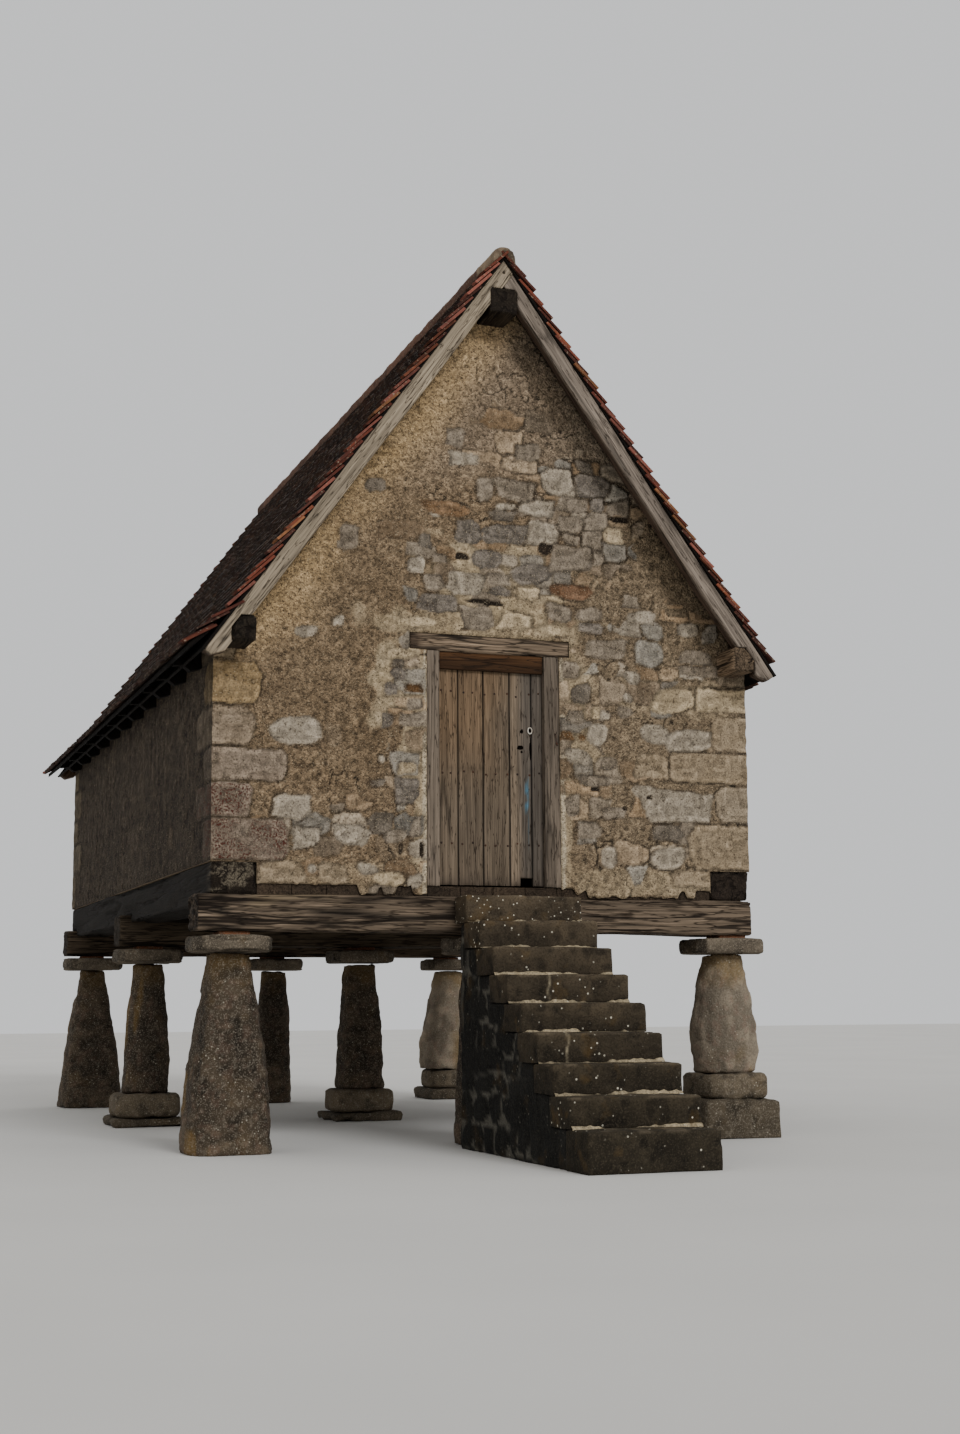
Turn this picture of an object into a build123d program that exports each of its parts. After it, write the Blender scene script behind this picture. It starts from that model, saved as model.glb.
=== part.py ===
"""A small raised granary.

A rubble-stone room under a steep tiled roof stands on three rows of tapered stone
pillars with flat cap stones, which keep vermin and damp away from the grain. Oak cross
beams lie on the caps, two long side beams are cogged over them, and thick floor planks
run from front to back between the side beams. A straight stone stair leads up to the
boarded door in the front gable.

Frame: +X right, +Y to the back, +Z up, in millimetres. The origin lies on the ground
under the centre pillar, half way between the outer faces of the two gable walls.
"""
from build123d import *
from math import cos, radians, sin, tan
import os

os.makedirs("parts", exist_ok=True)

# Plan of the building
BODY_WIDTH = 4400.0
BODY_LENGTH = 7326.0
WALL_THICKNESS = 340.0

# Pillars, and what lies between them and the beams
PILLAR_LEFT_INSET = 190.0
PILLAR_RIGHT_INSET = 130.0
PILLAR_FRONT_INSET = 250.0
CAP_TOP_Z = 1570.0
CAP_THICKNESS = 120.0
CAP_WIDTH = 600.0
CAP_EDGE = 18.0
SHIM_WIDTH = 240.0
SHIM_THICKNESS = 30.0
BASE_STONE_WIDTH = 590.0
BASE_STONE_HEIGHT = 205.0
BASE_STONE_EDGE = 30.0
FOOTING_WIDTH = 660.0
MIDDLE_BASE_TOP_Z = 285.0
BACK_RIGHT_BASE_TOP_Z = 330.0
MIDDLE_RIGHT_BASE_TOP_Z = 440.0
FRONT_RIGHT_BASE_TOP_Z = 505.0
CORNER_SHARE = 0.25
ROUND_SIDES = 16

# Beams and floor
CROSS_BEAM_HEIGHT = 270.0
CROSS_BEAM_WIDTH = 320.0
CROSS_BEAM_LEFT_OVERHANG = 100.0
CROSS_BEAM_RIGHT_OVERHANG = 30.0
SIDE_BEAM_HEIGHT = 300.0
SIDE_BEAM_COG = 60.0
PLANK_THICKNESS = 80.0
PLANK_COUNT = 14
PLANK_GAP = 5.0
PLANK_END_RECESS = 15.0

# Doorway, frame and leaf
DOOR_CLEAR_WIDTH = 870.0
DOOR_CLEAR_HEIGHT = 1690.0
JAMB_LEFT_WIDTH = 105.0
JAMB_RIGHT_WIDTH = 130.0
REBATE_SETBACK = 55.0
REBATE_LAP = 25.0
HEAD_RAIL_HEIGHT = 140.0
HEAD_RAIL_SETBACK = 20.0
LINTEL_HEIGHT = 130.0
LINTEL_LEFT_BEARING = 140.0
LINTEL_RIGHT_BEARING = 90.0
LINTEL_OUTER_DEPTH = 165.0
LEAF_THICKNESS = 30.0
LEAF_GAP = 6.0
LEAF_STOP_GAP = 5.0
LEAF_FLOOR_GAP = 14.0
LEAF_HEAD_LAP = 60.0
BOARD_JOINT_SHARES = (-0.586, -0.128, 0.357, 0.76)
BOARD_GAP = 3.0
LEDGE_HEIGHT = 130.0
LEDGE_THICKNESS = 25.0
LEDGE_END_INSET = 24.0
LEDGE_SHARES = (0.182, 0.528, 0.8675)
WORN_NOTCH_X = 245.0
WORN_NOTCH_WIDTH = 105.0
WORN_NOTCH_HEIGHT = 62.0

# Hinges
HINGE_PIN_RADIUS = 6.0
HINGE_PIN_CLEARANCE = 0.08
HINGE_EYE_RADIUS = 12.0
HINGE_EYE_HEIGHT = 50.0
HINGE_AXIS_OUTSET = 24.0
HINGE_PIN_PROUD = 8.0
HINGE_SHOULDER_GAP = 1.0
STRAP_THICKNESS = 6.0
STRAP_HEIGHT = 40.0
STRAP_LENGTH = 620.0
PINTLE_EMBEDMENT = 60.0
PINTLE_FIT = 0.05

# Roof
ROOF_PITCH = 54.5
EAVE_LINE_HEIGHT = 1866.0
RAFTER_DEPTH = 125.0
RAFTER_WIDTH = 90.0
RAFTER_PAIRS = 11
RAFTER_END_GAP = 60.0
RAFTER_LEFT_TAIL = 145.0
RAFTER_RIGHT_TAIL = 110.0
RAFTER_TAIL_NOSE = 58.0
RAFTER_TAIL_HEEL = 90.0
RAFTER_SEAT_COVER = 60.0
VERGE_RAFTER_WIDTH = 115.0
PEG_RADIUS = 13.0
PEG_FIT = 0.1
PEG_RECESS = 6.0
PLATE_WIDTH = 185.0
PLATE_HEIGHT = 200.0
PLATE_OUTER_INSET = 55.0
PLATE_DROP = 126.0
RIDGE_BEAM_WIDTH = 230.0
RIDGE_BEAM_HEIGHT = 200.0
RIDGE_BEAM_DROP = 440.0
TIMBER_PROJECTION = 330.0
ROOF_BOARD_THICKNESS = 20.0
ROOF_BOARD_FRONT_OVERHANG = 345.0
ROOF_BOARD_BACK_OVERHANG = 400.0
TILE_FRONT_OVERHANG = 362.0
TILE_BACK_OVERHANG = 420.0
TILE_EXPOSURE = 130.0
TILE_LAP_THICKNESS = 26.0
TILE_TAIL_THICKNESS = 42.0
TILE_RIGHT_OVERHANG = 150.0
TILE_RIDGE_SETBACK = 60.0
RIDGE_TILE_CROWN = 98.0
RIDGE_TILE_ARCH = 65.0
RIDGE_TILE_STEP = 8.0
RIDGE_TILE_LENGTH = 410.0
RIDGE_TILE_HALF_WIDTH = 97.0
RIDGE_TILE_FACETS = 6

# Kicked left eave, where sprockets lift the last courses
KICK_START_INSET = 50.0
KICK_PITCH = 41.0
KICK_OVERHANG = 290.0
EAVE_BOARD_WIDTH = 145.0
EAVE_BOARD_THICKNESS = 30.0
SPROCKET_WIDTH = 80.0

# Stair
STEP_COUNT = 9
STEP_TREAD = 279.0
STEP_RISE = 201.0
STEP_LAP = 90.0
TOP_STEP_DEPTH = 268.0
STAIR_LEFT_X = -315.0
STAIR_RIGHT_X = 620.0
STAIR_CORE_INSET = 12.0
STAIR_CORE_BACK_GAP = 80.0

# Levels and lines that follow from the sizes above
HALF_WIDTH = BODY_WIDTH / 2
FRONT_Y = -BODY_LENGTH / 2
BACK_Y = BODY_LENGTH / 2
INNER_X = HALF_WIDTH - WALL_THICKNESS
INNER_FRONT_Y = FRONT_Y + WALL_THICKNESS
INNER_BACK_Y = BACK_Y - WALL_THICKNESS
PILLAR_ROW_Y = {"front": FRONT_Y + PILLAR_FRONT_INSET, "middle": 0.0, "back": BACK_Y - PILLAR_FRONT_INSET}
PILLAR_X = {"left": PILLAR_LEFT_INSET - HALF_WIDTH, "centre": 0.0, "right": HALF_WIDTH - PILLAR_RIGHT_INSET}
CAP_BOTTOM_Z = CAP_TOP_Z - CAP_THICKNESS
CROSS_BEAM_BOTTOM_Z = CAP_TOP_Z + SHIM_THICKNESS
CROSS_BEAM_TOP_Z = CROSS_BEAM_BOTTOM_Z + CROSS_BEAM_HEIGHT
SIDE_BEAM_BOTTOM_Z = CROSS_BEAM_TOP_Z - SIDE_BEAM_COG
SIDE_BEAM_TOP_Z = SIDE_BEAM_BOTTOM_Z + SIDE_BEAM_HEIGHT
FLOOR_Z = CROSS_BEAM_TOP_Z + PLANK_THICKNESS
DOOR_RAIL_BOTTOM_Z = FLOOR_Z + DOOR_CLEAR_HEIGHT
DOOR_HEAD_Z = DOOR_RAIL_BOTTOM_Z + HEAD_RAIL_HEIGHT
LINTEL_TOP_Z = DOOR_HEAD_Z + LINTEL_HEIGHT
DOOR_HALF = DOOR_CLEAR_WIDTH / 2
JAMB_DEPTH = REBATE_SETBACK + LEAF_STOP_GAP + LEAF_THICKNESS
OPENING_LEFT_X = -DOOR_HALF - JAMB_LEFT_WIDTH
OPENING_RIGHT_X = DOOR_HALF + JAMB_RIGHT_WIDTH
LEAF_HALF = DOOR_HALF + REBATE_LAP - LEAF_GAP
LEAF_FRONT_Y = FRONT_Y + REBATE_SETBACK + LEAF_STOP_GAP
LEAF_BACK_Y = LEAF_FRONT_Y + LEAF_THICKNESS
LEAF_BOTTOM_Z = FLOOR_Z + LEAF_FLOOR_GAP
LEAF_TOP_Z = DOOR_RAIL_BOTTOM_Z + LEAF_HEAD_LAP
LEDGE_BACK_Y = LEAF_BACK_Y + LEDGE_THICKNESS
HINGE_X = -LEAF_HALF - HINGE_AXIS_OUTSET
HINGE_Y = LEDGE_BACK_Y + STRAP_THICKNESS / 2
SLOPE = tan(radians(ROOF_PITCH))
ACROSS = cos(radians(ROOF_PITCH))
DOWN = sin(radians(ROOF_PITCH))
EAVE_LINE_Z = FLOOR_Z + EAVE_LINE_HEIGHT
RAFTER_APEX_Z = EAVE_LINE_Z + SLOPE * HALF_WIDTH
PLATE_OUTER_X = HALF_WIDTH - PLATE_OUTER_INSET
PLATE_BOTTOM_Z = EAVE_LINE_Z - PLATE_DROP
PLATE_TOP_Z = PLATE_BOTTOM_Z + PLATE_HEIGHT
RIDGE_BEAM_BOTTOM_Z = RAFTER_APEX_Z - RIDGE_BEAM_DROP
RIDGE_BEAM_TOP_Z = RIDGE_BEAM_BOTTOM_Z + RIDGE_BEAM_HEIGHT
KICK_SLOPE = tan(radians(KICK_PITCH))
STAIR_FOOT_TOP_Z = CROSS_BEAM_TOP_Z - (STEP_COUNT - 1) * STEP_RISE


def block(x0, x1, y0, y1, z0, z1):
    """A straight-edged block between two opposite corners."""
    middle = Location(((x0 + x1) / 2, (y0 + y1) / 2, (z0 + z1) / 2))
    return middle * Box(x1 - x0, y1 - y0, z1 - z0)


def prism(outline, y0, y1):
    """An outline of (x, z) points, carried along Y from y0 to y1."""
    face = make_face(Polyline(*[(x, y0, z) for x, z in outline], close=True))
    return extrude(face, amount=y1 - y0, dir=(0, 1, 0))


def side_prism(outline, x0, x1):
    """An outline of (y, z) points, carried along X from x0 to x1."""
    face = make_face(Polyline(*[(x0, y, z) for y, z in outline], close=True))
    return extrude(face, amount=x1 - x0, dir=(1, 0, 0))


def on_side(side, outline):
    """The outline as it is on the right, or mirrored to the left."""
    return [(side * x, z) for x, z in outline]


def roof_line(x, depth=0.0):
    """Height of the plane that lies a depth under the rafters' top, x from the ridge."""
    return RAFTER_APEX_Z - SLOPE * x - depth / ACROSS


def together(solids):
    """Several solids that stay apart, as one node."""
    return Compound(children=list(solids))


# Pillar shafts: width of the stone, from its foot (0) to its head (1)
BROAD_SHAFT = ((0.0, 610.0), (0.27, 595.0), (0.47, 520.0), (0.68, 430.0), (0.88, 350.0), (1.0, 305.0))
VASE_SHAFT = ((0.0, 490.0), (0.08, 508.0), (0.18, 548.0), (0.37, 540.0), (0.59, 482.0), (0.84, 408.0), (1.0, 335.0))
SLIM_SHAFT = ((0.0, 425.0), (0.2, 412.0), (0.53, 372.0), (0.85, 322.0), (1.0, 300.0))
FLARED_SHAFT = ((0.0, 640.0), (0.15, 610.0), (0.39, 530.0), (0.7, 380.0), (0.92, 272.0), (1.0, 255.0))

# Each pillar: its shaft, whether it is squared or round, and the top of its base stone
PILLARS = {
    ("front", "left"): (BROAD_SHAFT, "squared", 0.0),
    ("front", "centre"): (SLIM_SHAFT, "squared", 0.0),
    ("front", "right"): (VASE_SHAFT, "round", FRONT_RIGHT_BASE_TOP_Z),
    ("middle", "left"): (SLIM_SHAFT, "round", MIDDLE_BASE_TOP_Z),
    ("middle", "centre"): (SLIM_SHAFT, "squared", MIDDLE_BASE_TOP_Z),
    ("middle", "right"): (VASE_SHAFT, "round", MIDDLE_RIGHT_BASE_TOP_Z),
    ("back", "left"): (FLARED_SHAFT, "squared", 0.0),
    ("back", "centre"): (SLIM_SHAFT, "round", 0.0),
    ("back", "right"): (BROAD_SHAFT, "squared", BACK_RIGHT_BASE_TOP_Z),
}


def squared_plan():
    """Plan of a square stone one unit wide, its four corners worn off in two facets each."""
    flat = 0.5 - CORNER_SHARE
    worn = flat + CORNER_SHARE * cos(radians(45))
    points = []
    for turn in range(4):
        c, s = round(cos(radians(90 * turn))), round(sin(radians(90 * turn)))
        points += [(c * x - s * y, s * x + c * y) for x, y in ((0.5, flat), (worn, worn), (flat, 0.5))]
    return points


def round_plan():
    """Plan of a round stone one unit wide."""
    angles = [radians(360 * number / ROUND_SIDES) for number in range(ROUND_SIDES)]
    return [(cos(angle) / 2, sin(angle) / 2) for angle in angles]


def hewn_stone(x, y, plan, levels):
    """A stone dressed to flat facets between levels, each given as a height and a width."""
    rings = [[(x + u * width, y + v * width, z) for u, v in plan] for z, width in levels]
    outlines = [rings[0], rings[-1]]
    for lower, upper in zip(rings, rings[1:]):
        for corner in range(len(plan)):
            outlines.append([lower[corner - 1], lower[corner], upper[corner], upper[corner - 1]])
    return Solid(Shell([make_face(Polyline(*outline, close=True)) for outline in outlines]))


def pillars(row):
    """The three shafts of one row."""
    shafts = []
    for column, x in PILLAR_X.items():
        widths, shape, foot_z = PILLARS[row, column]
        plan = squared_plan() if shape == "squared" else round_plan()
        levels = [(foot_z + share * (CAP_BOTTOM_Z - foot_z), width) for share, width in widths]
        shafts.append(hewn_stone(x, PILLAR_ROW_Y[row], plan, levels))
    return together(shafts)


def flat_stone(x, y, z0, z1, width, edge):
    """A flat stone with worn corners and worn upper and lower edges."""
    rim = width - 2 * edge
    return hewn_stone(x, y, squared_plan(), [(z0, rim), (z0 + edge, width), (z1 - edge, width), (z1, rim)])


def cap_stones():
    return together(
        flat_stone(x, y, CAP_BOTTOM_Z, CAP_TOP_Z, CAP_WIDTH, CAP_EDGE)
        for y in PILLAR_ROW_Y.values() for x in PILLAR_X.values()
    )


def shims():
    """Thin packing stones that level the cross beams on the caps."""
    half = SHIM_WIDTH / 2
    return together(
        block(x - half, x + half, y - half, y + half, CAP_TOP_Z, CROSS_BEAM_BOTTOM_Z)
        for y in map(beam_centre_y, PILLAR_ROW_Y) for x in PILLAR_X.values()
    )


def base_stones():
    """Flat stones under the pillars that stand on the higher side of the ground."""
    stones = []
    for (row, column), (_, _, top_z) in PILLARS.items():
        if top_z:
            x, y = PILLAR_X[column], PILLAR_ROW_Y[row]
            bottom_z = top_z - BASE_STONE_HEIGHT
            stones.append(flat_stone(x, y, bottom_z, top_z, BASE_STONE_WIDTH, BASE_STONE_EDGE))
    return together(stones)


def footings():
    """Rough blocks that carry the base stones down to the lowest ground."""
    half = FOOTING_WIDTH / 2
    blocks = []
    for (row, column), (_, _, top_z) in PILLARS.items():
        if top_z:
            x, y = PILLAR_X[column], PILLAR_ROW_Y[row]
            blocks.append(block(x - half, x + half, y - half, y + half, 0, top_z - BASE_STONE_HEIGHT))
    return together(blocks)


def beam_centre_y(row):
    """The end cross beams keep their outer faces in line with the gable walls."""
    inset = CROSS_BEAM_WIDTH / 2
    return {"front": FRONT_Y + inset, "middle": 0.0, "back": BACK_Y - inset}[row]


def cross_beam(row):
    y = beam_centre_y(row)
    half = CROSS_BEAM_WIDTH / 2
    return block(
        -HALF_WIDTH - CROSS_BEAM_LEFT_OVERHANG, HALF_WIDTH + CROSS_BEAM_RIGHT_OVERHANG,
        y - half, y + half, CROSS_BEAM_BOTTOM_Z, CROSS_BEAM_TOP_Z,
    )


def side_beam(side):
    """A long beam under a side wall, cogged down over the three cross beams."""
    x0, x1 = sorted((side * INNER_X, side * HALF_WIDTH))
    beam = block(x0, x1, FRONT_Y, BACK_Y, SIDE_BEAM_BOTTOM_Z, SIDE_BEAM_TOP_Z)
    for row in PILLAR_ROW_Y:
        beam -= cross_beam(row)
    return beam


def floor_planks():
    """Thick planks from front to back, bearing on the three cross beams."""
    pitch = (2 * INNER_X - PLANK_GAP) / PLANK_COUNT
    planks = []
    for number in range(PLANK_COUNT):
        x0 = -INNER_X + PLANK_GAP + number * pitch
        planks.append(
            block(
                x0, x0 + pitch - PLANK_GAP, FRONT_Y + PLANK_END_RECESS, BACK_Y - PLANK_END_RECESS,
                CROSS_BEAM_TOP_Z, FLOOR_Z,
            )
        )
    return together(planks)


def plate_outline(side):
    """Wall plate, with its outer top corner bevelled under the rafters."""
    inner = PLATE_OUTER_X - PLATE_WIDTH
    bevel_x = (RAFTER_APEX_Z - RAFTER_SEAT_COVER / ACROSS - PLATE_TOP_Z) / SLOPE
    return on_side(side, [
        (inner, PLATE_BOTTOM_Z), (PLATE_OUTER_X, PLATE_BOTTOM_Z),
        (PLATE_OUTER_X, roof_line(PLATE_OUTER_X, RAFTER_SEAT_COVER)), (bevel_x, PLATE_TOP_Z), (inner, PLATE_TOP_Z),
    ])


def wall_plate(side):
    return prism(plate_outline(side), FRONT_Y - TIMBER_PROJECTION, BACK_Y + TIMBER_PROJECTION)


def ridge_beam():
    """Ridge timber, with both top corners bevelled under the rafters."""
    half = RIDGE_BEAM_WIDTH / 2
    shoulder_z = roof_line(half, RAFTER_SEAT_COVER)
    bevel_x = (RAFTER_APEX_Z - RAFTER_SEAT_COVER / ACROSS - RIDGE_BEAM_TOP_Z) / SLOPE
    outline = [
        (-half, RIDGE_BEAM_BOTTOM_Z), (half, RIDGE_BEAM_BOTTOM_Z), (half, shoulder_z),
        (bevel_x, RIDGE_BEAM_TOP_Z), (-bevel_x, RIDGE_BEAM_TOP_Z), (-half, shoulder_z),
    ]
    return prism(outline, FRONT_Y - TIMBER_PROJECTION, BACK_Y + TIMBER_PROJECTION)


def rafter_tail(overhang):
    """The three corners of a rafter's foot, from its top edge round to its underside."""
    top_x = HALF_WIDTH + overhang
    top_z = roof_line(top_x)
    nose = (top_x - RAFTER_TAIL_NOSE * DOWN, top_z - RAFTER_TAIL_NOSE * ACROSS)
    heel_x = top_x - RAFTER_DEPTH * DOWN - RAFTER_TAIL_HEEL * ACROSS
    return [(top_x, top_z), nose, (heel_x, roof_line(heel_x, RAFTER_DEPTH))]


def rafter_outline(side, tail):
    """A rafter seen from the front, cut plumb on the ridge line."""
    return on_side(side, [(0, roof_line(0))] + rafter_tail(tail) + [(0, roof_line(0, RAFTER_DEPTH))])


def tail_of(side):
    return RAFTER_LEFT_TAIL if side < 0 else RAFTER_RIGHT_TAIL


def rafter_centres():
    first = INNER_FRONT_Y + RAFTER_END_GAP + RAFTER_WIDTH / 2
    step = -2 * first / (RAFTER_PAIRS - 1)
    return [first + number * step for number in range(RAFTER_PAIRS)]


def common_rafters(side):
    """Rafters over the room, notched over the wall plate and the ridge beam."""
    seats = [wall_plate(side), ridge_beam()]
    rafters = []
    for y in rafter_centres():
        rafter = prism(rafter_outline(side, tail_of(side)), y - RAFTER_WIDTH / 2, y + RAFTER_WIDTH / 2)
        for seat in seats:
            rafter -= seat
        rafters.append(rafter)
    return together(rafters)


def verge_outline(side):
    """A verge rafter, which runs past the ridge line up to the other slope's top edge."""
    past_x = RAFTER_DEPTH / (2 * DOWN)
    past_z = RAFTER_APEX_Z - SLOPE * past_x
    return on_side(side, [(-past_x, past_z), (0, roof_line(0))] + rafter_tail(tail_of(side)))


def verge_faces(end):
    """The outer and inner faces of the verge rafters at one end, and the lap between them."""
    outer = end * (BODY_LENGTH / 2 + TIMBER_PROJECTION)
    inner = outer - end * VERGE_RAFTER_WIDTH
    return outer, inner, (outer + inner) / 2


def peg_hole(end, radius):
    outer, inner, _ = verge_faces(end)
    y0, y1 = sorted((outer, inner))
    peg_z = roof_line(0, RAFTER_DEPTH) + RAFTER_DEPTH / (2 * ACROSS)
    face = Plane(origin=(0, y0, peg_z), x_dir=(1, 0, 0), z_dir=(0, 1, 0)) * Circle(radius)
    return extrude(face, amount=y1 - y0)


def verge_rafter(end, side):
    """One of a pair that is half lapped and pegged at the ridge; the left one laps in front."""
    outer, inner, lap = verge_faces(end)
    y0, y1 = sorted((outer, inner))
    rafter = prism(verge_outline(side), y0, y1)
    other = prism(verge_outline(-side), *sorted((lap, inner if side < 0 else outer)))
    return rafter - other - wall_plate(side) - ridge_beam() - peg_hole(end, PEG_RADIUS)


def verge_rafters(side):
    """The front and the back verge rafter of one slope."""
    return together(verge_rafter(end, side) for end in (-1, 1))


def rafter_pegs():
    pegs = []
    for end in (-1, 1):
        outer, inner, _ = verge_faces(end)
        peg = peg_hole(end, PEG_RADIUS - PEG_FIT)
        y0, y1 = sorted((outer, outer - end * PEG_RECESS))
        trim = PEG_RADIUS * 2
        pegs.append(peg - block(-trim, trim, y0, y1, RIDGE_BEAM_TOP_Z, RAFTER_APEX_Z))
    return together(pegs)


def roof_boards(side):
    """Close boarding over the rafters, from the ridge to the ends of the rafter tails."""
    end_x = HALF_WIDTH + tail_of(side)
    lift = ROOF_BOARD_THICKNESS
    outline = [
        (0, roof_line(0)), (end_x, roof_line(end_x)),
        (end_x + lift * DOWN, roof_line(end_x) + lift * ACROSS), (0, roof_line(0, -lift)),
    ]
    return prism(on_side(side, outline), FRONT_Y - ROOF_BOARD_FRONT_OVERHANG, BACK_Y + ROOF_BOARD_BACK_OVERHANG)


def stepped_courses(start, down, length):
    """Top edge of overlapping tile courses along a line of tiles, from its upper end."""
    out = (down[1] * -1, down[0])
    courses = max(1, round(length / TILE_EXPOSURE))
    exposure = length / courses
    points = []
    for course in range(courses):
        for along, lift in ((course * exposure, TILE_LAP_THICKNESS), ((course + 1) * exposure, TILE_TAIL_THICKNESS)):
            points.append((start[0] + down[0] * along + out[0] * lift, start[1] + down[1] * along + out[1] * lift))
    return points


def tile_slope(side):
    """All the plain tiles of one slope, as courses that step down to the eave."""
    bed = -ROOF_BOARD_THICKNESS
    down = (ACROSS, -DOWN)
    start = (TILE_RIDGE_SETBACK, roof_line(TILE_RIDGE_SETBACK, bed))
    if side > 0:
        end_x = HALF_WIDTH + TILE_RIGHT_OVERHANG
        lower = [(end_x, roof_line(end_x, bed))]
        top = stepped_courses(start, down, (end_x - start[0]) / ACROSS)
    else:
        kick_x = HALF_WIDTH - KICK_START_INSET
        tip_x = HALF_WIDTH + KICK_OVERHANG
        kick = (kick_x, roof_line(kick_x, bed))
        kick_down = (cos(radians(KICK_PITCH)), -sin(radians(KICK_PITCH)))
        top = stepped_courses(start, down, (kick_x - start[0]) / ACROSS)
        top += stepped_courses(kick, kick_down, (tip_x - kick_x) / kick_down[0])
        lower = [(tip_x, kick_underside(tip_x)), kick]
    y0, y1 = FRONT_Y - TILE_FRONT_OVERHANG, BACK_Y + TILE_BACK_OVERHANG
    return prism(on_side(side, [start] + top + lower), y0, y1)


def kick_underside(x):
    """Underside of the kicked tiles on the left eave."""
    kick_x = HALF_WIDTH - KICK_START_INSET
    return roof_line(kick_x, -ROOF_BOARD_THICKNESS) - KICK_SLOPE * (x - kick_x)


def eave_board_outline():
    """Board that carries the tails of the kicked tiles."""
    drop = EAVE_BOARD_THICKNESS / cos(radians(KICK_PITCH))
    outer = HALF_WIDTH + KICK_OVERHANG - EAVE_BOARD_THICKNESS
    inner = outer - EAVE_BOARD_WIDTH
    return on_side(-1, [
        (inner, kick_underside(inner)), (outer, kick_underside(outer)),
        (outer, kick_underside(outer) - drop), (inner, kick_underside(inner) - drop),
    ])


def eave_board():
    return prism(eave_board_outline(), FRONT_Y - ROOF_BOARD_FRONT_OVERHANG, BACK_Y + ROOF_BOARD_BACK_OVERHANG)


def eave_sprockets():
    """Wedges over the rafter tails that lift the last courses of the left slope."""
    kick_x = HALF_WIDTH - KICK_START_INSET
    end_x = HALF_WIDTH + RAFTER_LEFT_TAIL + ROOF_BOARD_THICKNESS * DOWN
    drop = EAVE_BOARD_THICKNESS / cos(radians(KICK_PITCH))
    nose_x = HALF_WIDTH + KICK_OVERHANG - 2 * EAVE_BOARD_THICKNESS
    nose_z = kick_underside(nose_x) - 1.5 * drop
    outline = on_side(-1, [
        (kick_x, kick_underside(kick_x)), (nose_x, kick_underside(nose_x)), (nose_x, nose_z),
        (end_x, roof_line(end_x, -ROOF_BOARD_THICKNESS)),
    ])
    half = SPROCKET_WIDTH / 2
    return together(prism(outline, y - half, y + half) - eave_board() for y in rafter_centres())


def ridge_tile_outline(step):
    """Arched ridge tile on its mortar, which fills down to the roof boards."""
    half = RIDGE_TILE_HALF_WIDTH
    edge_z = RAFTER_APEX_Z + RIDGE_TILE_CROWN - RIDGE_TILE_ARCH
    angles = [radians(180 * number / RIDGE_TILE_FACETS) for number in range(RIDGE_TILE_FACETS + 1)]
    arch = [(half * cos(angle), edge_z + (RIDGE_TILE_ARCH + step) * sin(angle)) for angle in angles]
    foot_z = roof_line(half, -ROOF_BOARD_THICKNESS)
    return arch + [(-half, foot_z), (0, roof_line(0, -ROOF_BOARD_THICKNESS)), (half, foot_z)]


def ridge_tiles():
    """Overlapping ridge tiles, each with a raised collar at its front end, over the two tile slopes."""
    y0, y1 = FRONT_Y - TILE_FRONT_OVERHANG, BACK_Y + TILE_BACK_OVERHANG
    count = round((y1 - y0) / RIDGE_TILE_LENGTH)
    length = (y1 - y0) / count
    row = prism(ridge_tile_outline(0), y0, y1)
    for number in range(count):
        start = y0 + number * length
        row += prism(ridge_tile_outline(RIDGE_TILE_STEP), start, start + length / 4)
    return row - tile_slope(-1) - tile_slope(1)


def through_timbers():
    return [wall_plate(-1), wall_plate(1), ridge_beam()]


def gable_wall(y0, y1):
    """A whole gable wall, stepped over the side beams and cut to the underside of the roof boards."""
    wall = prism([
        (-HALF_WIDTH, SIDE_BEAM_TOP_Z), (-INNER_X, SIDE_BEAM_TOP_Z), (-INNER_X, FLOOR_Z),
        (INNER_X, FLOOR_Z), (INNER_X, SIDE_BEAM_TOP_Z), (HALF_WIDTH, SIDE_BEAM_TOP_Z),
        (HALF_WIDTH, EAVE_LINE_Z), (0, RAFTER_APEX_Z), (-HALF_WIDTH, EAVE_LINE_Z),
    ], y0, y1)
    for timber in through_timbers():
        wall -= timber
    return wall


def front_wall(side):
    """Wall beside the doorway, from the floor up to the door head."""
    if side < 0:
        x0, x1 = -HALF_WIDTH, OPENING_LEFT_X
    else:
        x0, x1 = OPENING_RIGHT_X, HALF_WIDTH
    return gable_wall(FRONT_Y, INNER_FRONT_Y) & block(x0, x1, FRONT_Y, INNER_FRONT_Y, FLOOR_Z, DOOR_HEAD_Z)


def front_gable():
    """Wall over the doorway, bearing on the lintels and on the walls beside the door."""
    upper = block(-HALF_WIDTH, HALF_WIDTH, FRONT_Y, INNER_FRONT_Y, DOOR_HEAD_Z, RAFTER_APEX_Z)
    return (gable_wall(FRONT_Y, INNER_FRONT_Y) & upper) - lintel_outer() - lintel_inner()


def back_wall():
    return gable_wall(INNER_BACK_Y, BACK_Y)


def side_wall(side):
    """Side wall between the gables, its outer top edge cut back under the rafters."""
    under_x = (RAFTER_APEX_Z - RAFTER_DEPTH / ACROSS - PLATE_BOTTOM_Z) / SLOPE
    outline = [
        (INNER_X, SIDE_BEAM_TOP_Z), (HALF_WIDTH, SIDE_BEAM_TOP_Z), (HALF_WIDTH, roof_line(HALF_WIDTH, RAFTER_DEPTH)),
        (under_x, PLATE_BOTTOM_Z), (INNER_X, PLATE_BOTTOM_Z),
    ]
    return prism(on_side(side, outline), INNER_FRONT_Y, INNER_BACK_Y)


def lintel(y0, y1):
    return block(
        OPENING_LEFT_X - LINTEL_LEFT_BEARING, OPENING_RIGHT_X + LINTEL_RIGHT_BEARING,
        y0, y1, DOOR_HEAD_Z, LINTEL_TOP_Z,
    )


def lintel_outer():
    return lintel(FRONT_Y, FRONT_Y + LINTEL_OUTER_DEPTH)


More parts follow.
